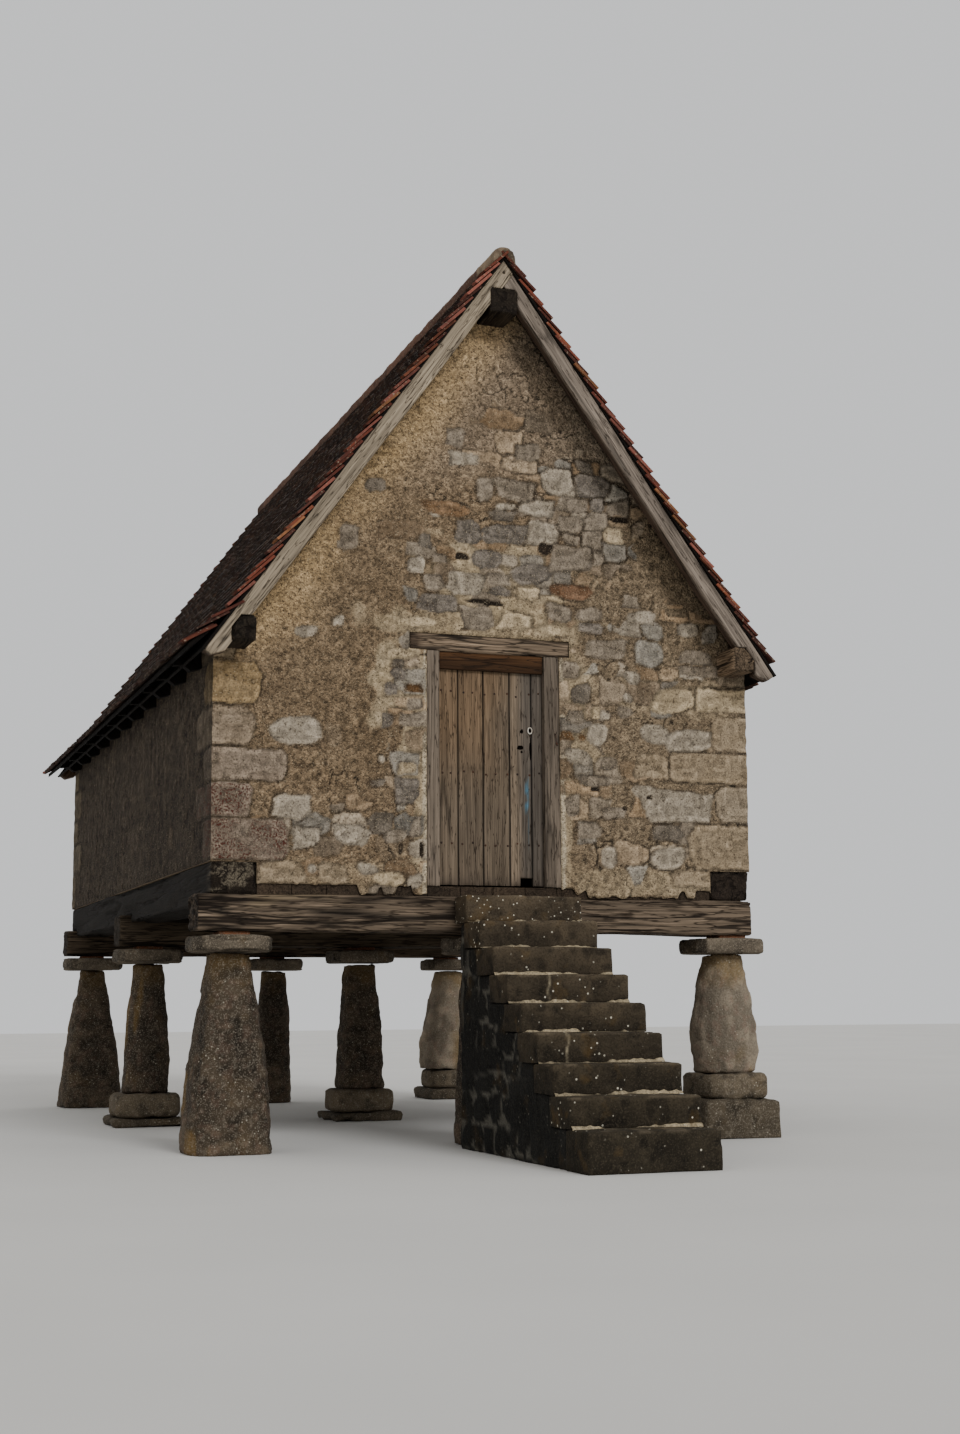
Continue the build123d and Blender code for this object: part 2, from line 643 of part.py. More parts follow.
def lintel_inner():
    return lintel(FRONT_Y + LINTEL_OUTER_DEPTH, INNER_FRONT_Y)


def leaf_rebate():
    """Space behind the front edge of the jambs, into which the leaf closes."""
    half = DOOR_HALF + REBATE_LAP
    return block(-half, half, FRONT_Y + REBATE_SETBACK, FRONT_Y + JAMB_DEPTH, FLOOR_Z, DOOR_HEAD_Z)


def door_jambs():
    """The two posts of the doorway, rebated for the leaf and bored for the pintles."""
    back_y = FRONT_Y + JAMB_DEPTH
    left = block(OPENING_LEFT_X, -DOOR_HALF, FRONT_Y, back_y, FLOOR_Z, DOOR_HEAD_Z) - leaf_rebate()
    right = block(DOOR_HALF, OPENING_RIGHT_X, FRONT_Y, back_y, FLOOR_Z, DOOR_HEAD_Z) - leaf_rebate()
    for z in hinge_heights():
        left -= pintle_shank(z, HINGE_PIN_RADIUS + PINTLE_FIT)
    return together([left, right])


def door_head_rail():
    """Rail between the jambs under the lintel, which stops the top of the leaf."""
    return block(
        -DOOR_HALF, DOOR_HALF, FRONT_Y + HEAD_RAIL_SETBACK, FRONT_Y + REBATE_SETBACK,
        DOOR_RAIL_BOTTOM_Z, DOOR_HEAD_Z,
    )


def door_boards():
    """Upright boards of the leaf, with a rotten notch at the foot of one joint."""
    edges = [LEAF_HALF * share for share in (-1, *BOARD_JOINT_SHARES, 1)]
    notch = block(
        WORN_NOTCH_X, WORN_NOTCH_X + WORN_NOTCH_WIDTH, LEAF_FRONT_Y, LEAF_BACK_Y,
        LEAF_BOTTOM_Z, LEAF_BOTTOM_Z + WORN_NOTCH_HEIGHT,
    )
    boards = []
    for left, right in zip(edges, edges[1:]):
        x0 = left if left == edges[0] else left + BOARD_GAP / 2
        x1 = right if right == edges[-1] else right - BOARD_GAP / 2
        boards.append(block(x0, x1, LEAF_FRONT_Y, LEAF_BACK_Y, LEAF_BOTTOM_Z, LEAF_TOP_Z) - notch)
    return together(boards)


def ledge_centres():
    return [LEAF_BOTTOM_Z + share * (LEAF_TOP_Z - LEAF_BOTTOM_Z) for share in LEDGE_SHARES]


def hinge_heights():
    centres = ledge_centres()
    return [centres[0], centres[-1]]


def door_ledges():
    """Cross pieces on the inside that hold the boards together."""
    half = LEAF_HALF - LEDGE_END_INSET
    return together(
        block(-half, half, LEAF_BACK_Y, LEDGE_BACK_Y, z - LEDGE_HEIGHT / 2, z + LEDGE_HEIGHT / 2)
        for z in ledge_centres()
    )


def hinge_rod(z0, z1, radius):
    return Location((HINGE_X, HINGE_Y, z0)) * extrude(Circle(radius), amount=z1 - z0)


def hinge_straps():
    """Iron straps on the ledges, each rolled into an eye round its pintle."""
    straps = []
    for z in hinge_heights():
        half = HINGE_EYE_HEIGHT / 2
        strap = block(
            HINGE_X, HINGE_X + STRAP_LENGTH, LEDGE_BACK_Y, LEDGE_BACK_Y + STRAP_THICKNESS,
            z - STRAP_HEIGHT / 2, z + STRAP_HEIGHT / 2,
        )
        strap += hinge_rod(z - half, z + half, HINGE_EYE_RADIUS)
        strap -= hinge_rod(z - half, z + half, HINGE_PIN_RADIUS + HINGE_PIN_CLEARANCE)
        straps.append(strap)
    return together(straps)


def pintle_shank(z, radius):
    """The part of a pintle that is driven into the back of the left jamb."""
    y0 = FRONT_Y + JAMB_DEPTH - PINTLE_EMBEDMENT
    shank_z = z - HINGE_EYE_HEIGHT / 2 - HINGE_PIN_RADIUS - HINGE_SHOULDER_GAP
    face = Plane(origin=(HINGE_X, y0, shank_z), x_dir=(1, 0, 0), z_dir=(0, 1, 0)) * Circle(radius)
    return extrude(face, amount=HINGE_Y - y0)


def hinge_pintles():
    pintles = []
    for z in hinge_heights():
        foot_z = z - HINGE_EYE_HEIGHT / 2 - 2 * HINGE_PIN_RADIUS - HINGE_SHOULDER_GAP
        head_z = z + HINGE_EYE_HEIGHT / 2 + HINGE_PIN_PROUD
        pintles.append(pintle_shank(z, HINGE_PIN_RADIUS) + hinge_rod(foot_z, head_z, HINGE_PIN_RADIUS))
    return together(pintles)


def step_front_y(number):
    """Front of a step, counted up from the ground."""
    return FRONT_Y - TOP_STEP_DEPTH - (STEP_COUNT - number) * STEP_TREAD


def step_top_z(number):
    return STAIR_FOOT_TOP_Z + (number - 1) * STEP_RISE


def step_back_y(number):
    return min(step_front_y(number) + STEP_TREAD + STEP_LAP, FRONT_Y)


def step(number):
    """A stone step, which bears on the back of the one below."""
    bottom_z = 0.0 if number == 1 else step_top_z(number - 1)
    return block(STAIR_LEFT_X, STAIR_RIGHT_X, step_front_y(number), step_back_y(number), bottom_z, step_top_z(number))


def stair_core():
    """Masonry under the steps."""
    outline = [(step_back_y(1), 0.0)]
    for number in range(1, STEP_COUNT):
        outline.append((step_back_y(number), step_top_z(number)))
        if number < STEP_COUNT - 1:
            outline.append((step_back_y(number + 1), step_top_z(number)))
    back_y = FRONT_Y - STAIR_CORE_BACK_GAP
    outline += [(back_y, step_top_z(STEP_COUNT - 1)), (back_y, 0.0)]
    return side_prism(outline, STAIR_LEFT_X + STAIR_CORE_INSET, STAIR_RIGHT_X - STAIR_CORE_INSET)


def build():
    """Every sub-part, under the name of its node."""
    parts = {}
    for row in PILLAR_ROW_Y:
        parts[f"pillars_{row}"] = pillars(row)
        parts[f"cross_beam_{row}"] = cross_beam(row)
    parts["cap_stones"] = cap_stones()
    parts["shims"] = shims()
    parts["base_stones"] = base_stones()
    parts["footings"] = footings()
    for side, name in ((-1, "left"), (1, "right")):
        parts[f"side_beam_{name}"] = side_beam(side)
        parts[f"front_wall_{name}"] = front_wall(side)
        parts[f"side_wall_{name}"] = side_wall(side)
        parts[f"wall_plate_{name}"] = wall_plate(side)
        parts[f"rafters_{name}"] = common_rafters(side)
        parts[f"verge_rafters_{name}"] = verge_rafters(side)
        parts[f"roof_boards_{name}"] = roof_boards(side)
        parts[f"roof_tiles_{name}"] = tile_slope(side)
    parts["floor_planks"] = floor_planks()
    parts["front_gable"] = front_gable()
    parts["back_wall"] = back_wall()
    parts["ridge_beam"] = ridge_beam()
    parts["rafter_pegs"] = rafter_pegs()
    parts["eave_board"] = eave_board()
    parts["eave_sprockets"] = eave_sprockets()
    parts["ridge_tiles"] = ridge_tiles()
    parts["lintel_outer"] = lintel_outer()
    parts["lintel_inner"] = lintel_inner()
    parts["door_jambs"] = door_jambs()
    parts["door_head_rail"] = door_head_rail()
    parts["door_boards"] = door_boards()
    parts["door_ledges"] = door_ledges()
    parts["hinge_straps"] = hinge_straps()
    parts["hinge_pintles"] = hinge_pintles()
    for number in range(1, STEP_COUNT + 1):
        parts[f"step_{number}"] = step(number)
    parts["stair_core"] = stair_core()
    return parts


for node, shape in build().items():
    export_step(shape, f"parts/{node}.step")
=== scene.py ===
"""Looks of a small raised granary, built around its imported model.

Rubble walls, worn oak, clay tiles and granite pillars are meshes that stand for the plain
solids, or lie on them. Lengths are metres, in the model's frame: +X right, +Y back, +Z up.
"""
from copy import copy
from math import ceil, cos, pi, radians, sin, tan

import bmesh
import bpy
import numpy as np
from mathutils import Matrix, Vector


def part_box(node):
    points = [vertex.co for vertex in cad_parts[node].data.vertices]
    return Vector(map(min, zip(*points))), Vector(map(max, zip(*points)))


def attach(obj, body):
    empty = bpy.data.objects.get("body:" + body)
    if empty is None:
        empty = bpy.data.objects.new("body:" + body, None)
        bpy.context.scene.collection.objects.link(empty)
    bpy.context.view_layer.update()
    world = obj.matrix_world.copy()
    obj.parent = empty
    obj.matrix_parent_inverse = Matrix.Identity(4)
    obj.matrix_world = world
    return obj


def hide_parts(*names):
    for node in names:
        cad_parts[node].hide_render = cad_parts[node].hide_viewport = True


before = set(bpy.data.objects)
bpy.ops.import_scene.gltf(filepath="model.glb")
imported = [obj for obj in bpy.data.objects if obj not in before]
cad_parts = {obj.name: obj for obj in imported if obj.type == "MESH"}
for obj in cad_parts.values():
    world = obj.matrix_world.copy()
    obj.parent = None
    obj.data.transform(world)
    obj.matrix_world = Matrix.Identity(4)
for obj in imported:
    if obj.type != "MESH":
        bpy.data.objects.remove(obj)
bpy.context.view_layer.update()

# Sizes read from the frame
HALF_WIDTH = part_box("back_wall")[1].x
FRONT_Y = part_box("front_gable")[0].y
BACK_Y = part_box("back_wall")[1].y
APEX_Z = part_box("front_gable")[1].z
BEAM_TOP_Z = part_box("cross_beam_front")[1].z
BEAM_END_TOP_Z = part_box("side_beam_left")[1].z
BEAM_INNER_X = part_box("side_beam_right")[0].x
OPENING = (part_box("door_jambs")[0].x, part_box("door_jambs")[1].x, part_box("lintel_outer")[0].z)
LINTEL = (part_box("lintel_outer")[0].x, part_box("lintel_outer")[1].x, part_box("lintel_outer")[1].z)

# The roof's form, as the frame has it
ROOF_PITCH = radians(54.5)
KICK_PITCH = radians(41.0)
BOARD_THICKNESS = 0.020
RIDGE_SETBACK = 0.060
KICK_START_INSET = 0.050
TILE_EXPOSURE = 0.130
TAIL_LIFT = 0.042

# Camera, at the photograph's place
CAMERA_PLACE = Vector((-4.985, -17.035, 1.060))
CAMERA_YAW = 0.350
CAMERA_PITCH = 0.154
CAMERA_ROLL = -0.006
IMAGE_HEIGHT = 1434
FOCAL_PIXELS = 1850.0
SENSOR = 36.0

# Colours as they look in plain light, red, green and blue from 0 to 255; a few carry painted shade, as noted
RENDER = (118, 100, 78)
RENDER_RIGHT = (124, 108, 87)
OCHRE_WASH = (182, 154, 114)
LIME = (164, 147, 119)
BLUE_GREY = (105, 97, 88)
GREY = (119, 108, 94)
DARK = (92, 84, 74)
PALE = (145, 134, 118)
BEIGE = (137, 121, 99)
CREAM = (160, 143, 116)
OCHRE = (138, 117, 86)
PINK = (112, 99, 86)
RUST = (118, 94, 70)
BRICK = (106, 80, 60)
WOOD_END = (92, 69, 46)
# The dark of holes and knot holes, painted as the shade inside them
HOLE_SHADE_COLOUR = (48, 39, 31)
JOINT = (70, 59, 47)
# The side walls' plaster, darkened as painted shade
SHADED_SIDE_PLASTER = (56, 48, 40)
JAMB_LIME = (186, 172, 148)

# Directions
ACROSS = (1, 0, 0)
BACKWARD = (0, 1, 0)
UPWARD = (0, 0, 1)

# Steps of the wall meshes, in front and elsewhere; how much a wall skin stands off its wall at least,
# and at its edges; and how far from a corner the corner's own relief begins
FRONT_CELL = 0.0122
OTHER_CELL = 0.027
LEAST_RELIEF = 0.0015
EDGE_RELIEF = 0.0005
CORNER_REACH = 0.035

# A knot hole in the front beam, as x and z
KNOT = (1.13, 1.745)

# Large odd numbers that scatter a cell's place without a pattern
SCATTER = (374761393, 668265263, 2246822519, 3266489917)


def linear(colour):
    """A 0 to 255 display colour as the linear values that shaders use."""
    share = np.asarray(colour, float) / 255
    return np.where(share <= 0.04045, share / 12.92, ((share + 0.055) / 1.055) ** 2.4)


def paint(colour):
    return (*linear(colour), 1.0)


def places(*values):
    """Points from their coordinates; a single number is the same for every point."""
    return np.stack(np.broadcast_arrays(*values), 1)


def lattice(cells, seed):
    """A repeatable number from 0 to 1 for each whole-numbered cell."""
    a, b, c, d = (np.uint32(number) for number in SCATTER)
    cells = cells.astype(np.int64).astype(np.uint32)
    mixed = cells[..., 0] * a + cells[..., 1] * b + cells[..., 2] * c
    mixed = mixed + np.uint32((seed * SCATTER[3]) & 0xFFFFFFFF)
    mixed = (mixed ^ (mixed >> np.uint32(15))) * c
    mixed = (mixed ^ (mixed >> np.uint32(13))) * d
    return ((mixed ^ (mixed >> np.uint32(16))) & np.uint32(0xFFFFFF)) / 0xFFFFFF


def noise(points, size, seed=0):
    """Smooth noise from -1 to 1, with features as large as size, one length or one for each axis."""
    scaled = points / np.asarray(size, float)
    base = np.floor(scaled)
    part = scaled - base
    part = part * part * (3 - 2 * part)
    total = np.zeros(len(points))
    for corner in np.ndindex(2, 2, 2):
        weight = np.prod(np.where(corner, part, 1 - part), axis=1)
        total += weight * lattice(base + corner, seed)
    return 2 * total - 1


def rise(value, low, high):
    """A soft step from 0 at low to 1 at high."""
    part = np.clip((value - low) / (high - low), 0, 1)
    return part * part * (3 - 2 * part)


def toward(tone, mask, colour):
    """A colour moved to another where a mask is 1."""
    return tone + mask[:, None] * (np.array(colour) - tone)


def lines(stops, spacing):
    """Places through every stop, at most a spacing apart."""
    reached = [stops[0]]
    for start, end in zip(stops, stops[1:]):
        count = max(1, ceil((end - start) / spacing))
        reached += [start + (end - start) * step / count for step in range(1, count + 1)]
    return np.array(reached)


def paint_mesh(mesh, tones, grain=None):
    """Keeps a display colour and a place along the grain for every point of a mesh."""
    shades = np.ones((len(mesh.vertices), 4), np.float32)
    shades[:, :3] = linear(np.clip(tones, 0, 255))
    layer = mesh.color_attributes.new(name="tone", type="FLOAT_COLOR", domain="POINT")
    layer.data.foreach_set("color", shades.ravel())
    if grain is not None:
        layer = mesh.attributes.new(name="grain", type="FLOAT_VECTOR", domain="POINT")
        layer.data.foreach_set("vector", np.asarray(grain, np.float32).ravel())


def new_mesh(name, points, faces, tones=None, smooth=False):
    mesh = bpy.data.meshes.new(name)
    mesh.from_pydata(np.asarray(points, float).tolist(), [], faces)
    if tones is not None:
        paint_mesh(mesh, tones)
    if smooth:
        mesh.shade_smooth()
    else:
        mesh.shade_flat()
    return mesh


def mesh_from(carrier):
    """The final mesh of a helper object, which is then removed."""
    bpy.context.scene.collection.objects.link(carrier)
    shaped = carrier.evaluated_get(bpy.context.evaluated_depsgraph_get())
    mesh = bpy.data.meshes.new_from_object(shaped)
    bpy.data.objects.remove(carrier)
    mesh.materials.clear()
    return mesh


def add_piece(name, mesh, material, slot, replaced=(), body="building"):
    """Puts a mesh in the scene as a piece that rides on a body and may stand for CAD nodes."""
    mesh.materials.append(material)
    piece = bpy.data.objects.new(name, mesh)
    bpy.context.scene.collection.objects.link(piece)
    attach(piece, body)
    if replaced:
        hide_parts(*replaced)


def add_node(tree, kind, sources=None, **settings):
    """A shader node whose inputs are linked to sockets or set to values."""
    node = tree.nodes.new("ShaderNode" + kind)
    for key, value in settings.items():
        setattr(node, key, value)
    for name, source in (sources or {}).items():
        if isinstance(source, bpy.types.NodeSocket):
            tree.links.new(source, node.inputs[name])
        else:
            node.inputs[name].default_value = source
    return node


class Finish:
    """A procedural material, built node by node."""

    def __init__(self, name, roughness, gloss=0.15):
        self.material = bpy.data.materials.new(name)
        self.material.use_nodes = True
        self.tree = self.material.node_tree
        self.shader = self.tree.nodes["Principled BSDF"]
        self.shader.inputs["Roughness"].default_value = roughness
        self.shader.inputs["Specular IOR Level"].default_value = gloss

    def add(self, kind, sources=None, **settings):
        return add_node(self.tree, kind, sources, **settings)

    def kept(self, name, output="Color"):
        """A value that the mesh keeps for every point."""
        return self.add("Attribute", attribute_name=name).outputs[output]

    def place(self, stretch=(1, 1, 1), turn=(0, 0, 0), vector=None):
        """The point's place in the object, or another vector, turned and stretched."""
        if vector is None:
            vector = self.add("TexCoord").outputs["Object"]
        return self.add("Mapping", {"Vector": vector, "Scale": stretch, "Rotation": turn}).outputs["Vector"]

    def ramp(self, value, low, high, first=0.0, last=1.0):
        """A value that goes from first to last while another goes from low to high."""
        ends = {"Value": value, "From Min": low, "From Max": high, "To Min": first, "To Max": last}
        return self.add("MapRange", ends).outputs["Result"]

    def noise(self, place, scale=1.0, detail=3.0):
        return self.add("TexNoise", {"Vector": place, "Scale": scale, "Detail": detail}).outputs["Fac"]

    def mask(self, place, scale, low=0.4, high=0.6, detail=4.0):
        """Noise as a mask that rises from 0 at low to 1 at high."""
        return self.ramp(self.noise(place, scale, detail), low, high)

    def sum(self, *parts):
        """The sum of masks, each with its weight."""
        total = 0.0
        for mask, weight in parts:
            total = self.add("Math", {0: mask, 1: weight, 2: total}, operation="MULTIPLY_ADD").outputs[0]
        return total

    def share(self, mask, amount):
        return self.add("Math", {0: mask, 1: amount}, operation="MULTIPLY").outputs[0]

    def blend(self, factor, first, second):
        """A number between two others."""
        return self.add("Mix", {0: factor, 2: first, 3: second}, data_type="FLOAT").outputs[0]

    def mix(self, base, mask, amount, tint):
        """A colour with a share of another laid over it."""
        factor = self.share(mask, amount)
        return self.add("Mix", {0: factor, 6: base, 7: paint(tint)}, data_type="RGBA").outputs[2]

    def patches(self, colour, place, *kinds):
        """A colour with noisy patches: each kind's scale, low, high, share and colour."""
        for scale, low, high, amount, tint in kinds:
            colour = self.mix(colour, self.mask(place, scale, low, high), amount, tint)
        return colour

    def scaled(self, colour, factor):
        """A colour made darker or lighter by a factor."""
        return self.add("VectorMath", {0: colour, "Scale": factor}, operation="SCALE").outputs["Vector"]

    def thin_lines(self, place, width):
        """Thin winding lines, 1 on the line and 0 beside it."""
        level = self.add("Math", {0: self.noise(place), 1: 0.5}, operation="SUBTRACT").outputs[0]
        level = self.add("Math", {0: level}, operation="ABSOLUTE").outputs[0]
        return self.ramp(level, width, width * 0.3)

    def finish(self, colour, height, depth):
        """Links the colour, and a bump of a depth in metres from the height."""
        self.tree.links.new(colour, self.shader.inputs["Base Color"])
        bump = self.add("Bump", {"Height": height, "Distance": depth, "Strength": 1.0})
        self.tree.links.new(bump.outputs["Normal"], self.shader.inputs["Normal"])
        return self.material


def masonry_finish():
    """Stone and pebbly lime render, coloured by the mesh, with detail too fine for it."""
    f = Finish("masonry", 0.95)
    place = f.place()
    pebbly = f.kept("grit", "Fac")
    pebbles = f.add("TexVoronoi", {"Vector": place, "Scale": 78.0}).outputs
    pebble = f.add("SeparateColor", {"Color": pebbles["Color"]}).outputs[0]
    crystals = f.noise(place, 70.0, 4.0)
    shade = f.blend(pebbly, f.ramp(crystals, 0.35, 0.65, 0.70, 1.24), f.ramp(pebble, 0, 1, 0.48, 1.50))
    colour = f.patches(
        f.scaled(f.kept("tone"), shade), place,
        (60, 0.58, 0.66, 0.75, (58, 47, 36)), (110, 0.60, 0.68, 0.55, (190, 174, 146)),
    )
    specks = f.share(f.mask(place, 66, 0.51, 0.57), f.mask(place, 4.0, 0.38, 0.55))
    colour = f.mix(colour, specks, f.ramp(pebbly, -0.2, -0.8), (78, 44, 36))
    crack = f.share(f.thin_lines(f.place((9, 9, 9)), 0.012), f.mask(place, 3.0, 0.48, 0.56))
    colour = f.mix(colour, crack, 0.4, (44, 36, 28))
    dome = f.ramp(pebbles["Distance"], 0, 1, 1.0, 0.3)
    return f.finish(colour, f.blend(pebbly, f.ramp(crystals, 0, 1, 0.0, 0.7), dome), 0.014)


def plaster_finish(name, colour, dark):
    """Old lime plaster inside the room and on the hidden wall faces."""
    f = Finish(name, 0.95)
    place = f.place()
    shade = f.patches(paint(colour), place, (3, 0.35, 0.7, 1.0, dark), (45, 0.5, 0.7, 0.4, (150, 134, 110)))
    return f.finish(shade, f.noise(place, 30.0, 6.0), 0.006)


def wood_surface(f, colour, vector, checks):
    """Fine fibres, streaks and drying cracks along a vector that lies along the wood."""
    def grain(along, across):
        return f.place((along, across, across), vector=vector)

    fibres = f.noise(grain(4.0, 150.0), 1.0, 4.0)
    streaks = f.noise(grain(1.3, 34.0), 1.0, 5.0)
    ribs = f.noise(grain(2.0, 95.0), 1.0, 3.0)
    contrast = checks ** 0.5
    colour = f.scaled(colour, f.ramp(fibres, 0.3, 0.7, 0.76, 1.18))
    colour = f.scaled(colour, f.ramp(streaks, 0.3, 0.7, 0.80, 1.16))
    colour = f.scaled(colour, f.ramp(ribs, 0.32, 0.66, 1 - 0.38 * contrast, 1 + 0.24 * contrast))
    where = f.mask(grain(0.9, 8.0), 1.0, 0.42, 0.52, 2.0)
    deep = f.share(f.thin_lines(grain(0.7, 10.0), 0.030 * checks), where)
    small = f.thin_lines(grain(2.2, 34.0), 0.028 * checks)
    colour = f.mix(colour, small, 0.80, (32, 25, 19))
    colour = f.mix(colour, deep, min(0.92, 0.6 * checks), (24, 18, 14))
    height = f.sum((fibres, 0.25), (ribs, 0.45), (streaks, 0.25), (small, -0.15), (deep, -0.7))
    return f.finish(colour, height, 0.006 * checks + 0.002)


def worn_wood_finish(name, checks):
    """Weathered wood, coloured by the mesh, with its grain along each timber."""
    f = Finish(name, 0.9)
    return wood_surface(f, f.kept("tone"), f.kept("grain", "Vector"), checks)


def inner_wood_finish(name, turn, light, dark):
    """Sheltered wood for timbers that keep their own shape, with painted shade where its colours are near
    black; the turn lays the grain along them.
    """
    f = Finish(name, 0.9)
    colour = f.patches(paint(light), f.place(), (1.7, 0.35, 0.7, 1.0, dark))
    return wood_surface(f, colour, f.place(turn=turn), 0.8)


def tile_finish():
    """Clay tiles, coloured by the mesh, with soot, lichen and chipped grit."""
    f = Finish("clay_tile", 0.9)
    place = f.place()
    soot, lichen = (14, 0.47, 0.70, 0.5, (42, 34, 31)), (60, 0.60, 0.68, 0.6, (158, 148, 126))
    return f.finish(f.patches(f.kept("tone"), place, soot, lichen), f.noise(place, 90.0, 4.0), 0.003)


def stone_finish(name, dark, crystal, grain_share, ochre_share, lichen_share, dots, bare=0.49):
    """Coarse stone with dark and light grains, ochre stains and white lichen spots."""
    f = Finish(name, 0.93)
    place = f.place()
    colour = f.patches(
        f.kept("tone"), place,
        (75, 0.50, 0.60, grain_share, dark), (95, 0.54, 0.64, grain_share, crystal),
        (32, 0.54, 0.66, 0.45 * grain_share, crystal), (5, 0.58, 0.75, ochre_share, (124, 97, 54)),
    )
    cells = f.add("TexVoronoi", {"Vector": place, "Scale": dots}).outputs["Distance"]
    spots = f.share(f.ramp(cells, 0.17, 0.11), f.mask(place, 5.0, bare, bare + 0.07))
    colour = f.mix(colour, spots, lichen_share, (204, 198, 180))
    return f.finish(colour, f.noise(place, 45.0, 6.0), 0.009)


def metal_finish(name, colour, rust, gloss=0.5):
    f = Finish(name, 0.7, gloss)
    place = f.place()
    shade = f.patches(paint(colour), place, (40, 0.4, 0.65, 1.0, rust))
    return f.finish(shade, f.noise(place, 160.0, 4.0), 0.001)


MASONRY = masonry_finish()
PLASTER = plaster_finish("inner_plaster", (134, 118, 96), (104, 90, 72))
OAK = worn_wood_finish("weathered_oak", 1.5)
DRY_OAK = worn_wood_finish("dry_oak", 0.7)
BOARD_WOOD = worn_wood_finish("door_wood", 0.55)
CLAY = tile_finish()
GRANITE = stone_finish("pillar_granite", (52, 45, 38), (166, 156, 140), 0.30, 0.14, 0.45, 26.0)
CAP_STONE = stone_finish("cap_granite", (60, 52, 45), (160, 148, 130), 0.4, 0.25, 0.3, 26.0)
STEP_STONE = stone_finish("step_stone", (26, 22, 18), (80, 72, 59), 0.40, 0.30, 1.0, 19.0)
TOP_STEP_STONE = stone_finish("top_step_stone", (34, 29, 23), (96, 87, 72), 0.40, 0.30, 1.0, 25.0, 0.28)
FLANK_STONE = stone_finish("flank_stone", (20, 19, 17), (70, 67, 60), 0.35, 0.15, 0.15, 19.0)
IRON = metal_finish("rusted_iron", (38, 31, 27), (76, 48, 32), 0.2)
BRIGHT_IRON = metal_finish("worn_iron", (214, 208, 196), (150, 136, 118))
# Painted shade for holes: a near-black finish laid where a hole is
HOLE_SHADE_FINISH = metal_finish("painted_hole_shade", (9, 7, 6), (15, 12, 9), 0.0)


def rough_stones(s, z, seed, course, width):
    """Irregular stones in rough courses: how far inside its stone each point is, where, and its number."""
    flat = places(s, z, seed * 3.7)
    s = s + 0.045 * noise(flat, 0.30, seed + 1) + 0.014 * noise(flat, 0.07, seed + 2)
    z = z + 0.050 * noise(flat, 0.34, seed + 3) + 0.014 * noise(flat, 0.08, seed + 4)

    def row_edge(row):
        return (row + 0.4 * (lattice(places(row, 0, 0), seed + 5) - 0.5)) * course

    rows = np.floor(z / course)
    rows = rows - (z < row_edge(rows)) + (z >= row_edge(rows + 1))
    width = width * (0.7 + 0.7 * lattice(places(rows, 0, 0), seed + 6))
    column = s / width + 7 * lattice(places(rows, 0, 0), seed + 7)

    def column_edge(cell):
        return cell + 0.5 * (lattice(places(rows, cell, 0), seed + 8) - 0.5)

    cells = np.floor(column)
    cells = cells - (column < column_edge(cells)) + (column >= column_edge(cells + 1))
    left, right = (column - column_edge(cells)) * width, (column_edge(cells + 1) - column) * width
    below, above = z - row_edge(rows), row_edge(rows + 1) - z
    across, up = (left - right) / (left + right), (below - above) / (below + above)
    number = places(rows, cells, seed)
    inside = np.minimum.reduce([left, right, below, above])
    half = np.minimum(left + right, below + above) / 2
    for side, (a, b) in enumerate(((-1, -1), (1, -1), (1, 1), (-1, 1))):
        cut = 1.35 + 0.6 * lattice(number, seed + 20 + side)
        inside = np.minimum(inside, 0.7 * half * (cut - a * across - b * up))
    return inside, across, up, number


# Stones that the photograph shows in the front wall, by colour: left, right, bottom, top.
# Lumps are rounded, blocks have cut corners.
FRONT_LUMPS = (
    ((148, 137, 121), ((-1.79, -1.37, 2.99, 3.21),)),
    (PALE, (
        (-1.60, -1.41, 3.82, 3.91), (-1.49, -1.41, 2.03, 2.10), (-1.10, -0.92, 2.03, 2.11),
        (-1.30, -1.19, 3.92, 4.00), (-0.93, -0.88, 2.88, 2.93), (0.80, 0.97, 3.09, 3.27),
        (0.61, 0.85, 2.93, 3.06), (0.90, 1.04, 2.10, 2.29), (1.33, 1.63, 2.11, 2.29),
        (1.13, 1.28, 3.60, 3.71), (1.12, 1.19, 3.44, 3.52), (1.26, 1.53, 3.12, 3.28),
        (-0.52, -0.44, 4.84, 4.90), (0.88, 1.02, 3.30, 3.37),
    )),
    (GREY, (
        (-0.90, -0.70, 2.26, 2.38), (0.91, 1.05, 2.89, 3.00), (1.05, 1.20, 3.32, 3.41),
        (0.83, 0.97, 4.55, 4.66),
    )),
    (BLUE_GREY, ((-0.17, 0.10, 4.46, 4.61), (0.16, 0.50, 4.35, 4.52), (-0.83, -0.70, 3.52, 3.62))),
    (CREAM, ((-0.98, -0.72, 1.95, 2.05), (1.36, 1.75, 3.38, 3.59), (-0.90, -0.62, 3.68, 3.77))),
    (RUST, ((-0.58, -0.18, 4.86, 4.98),)),
    (BRICK, ((0.48, 0.87, 4.26, 4.38),)),
)
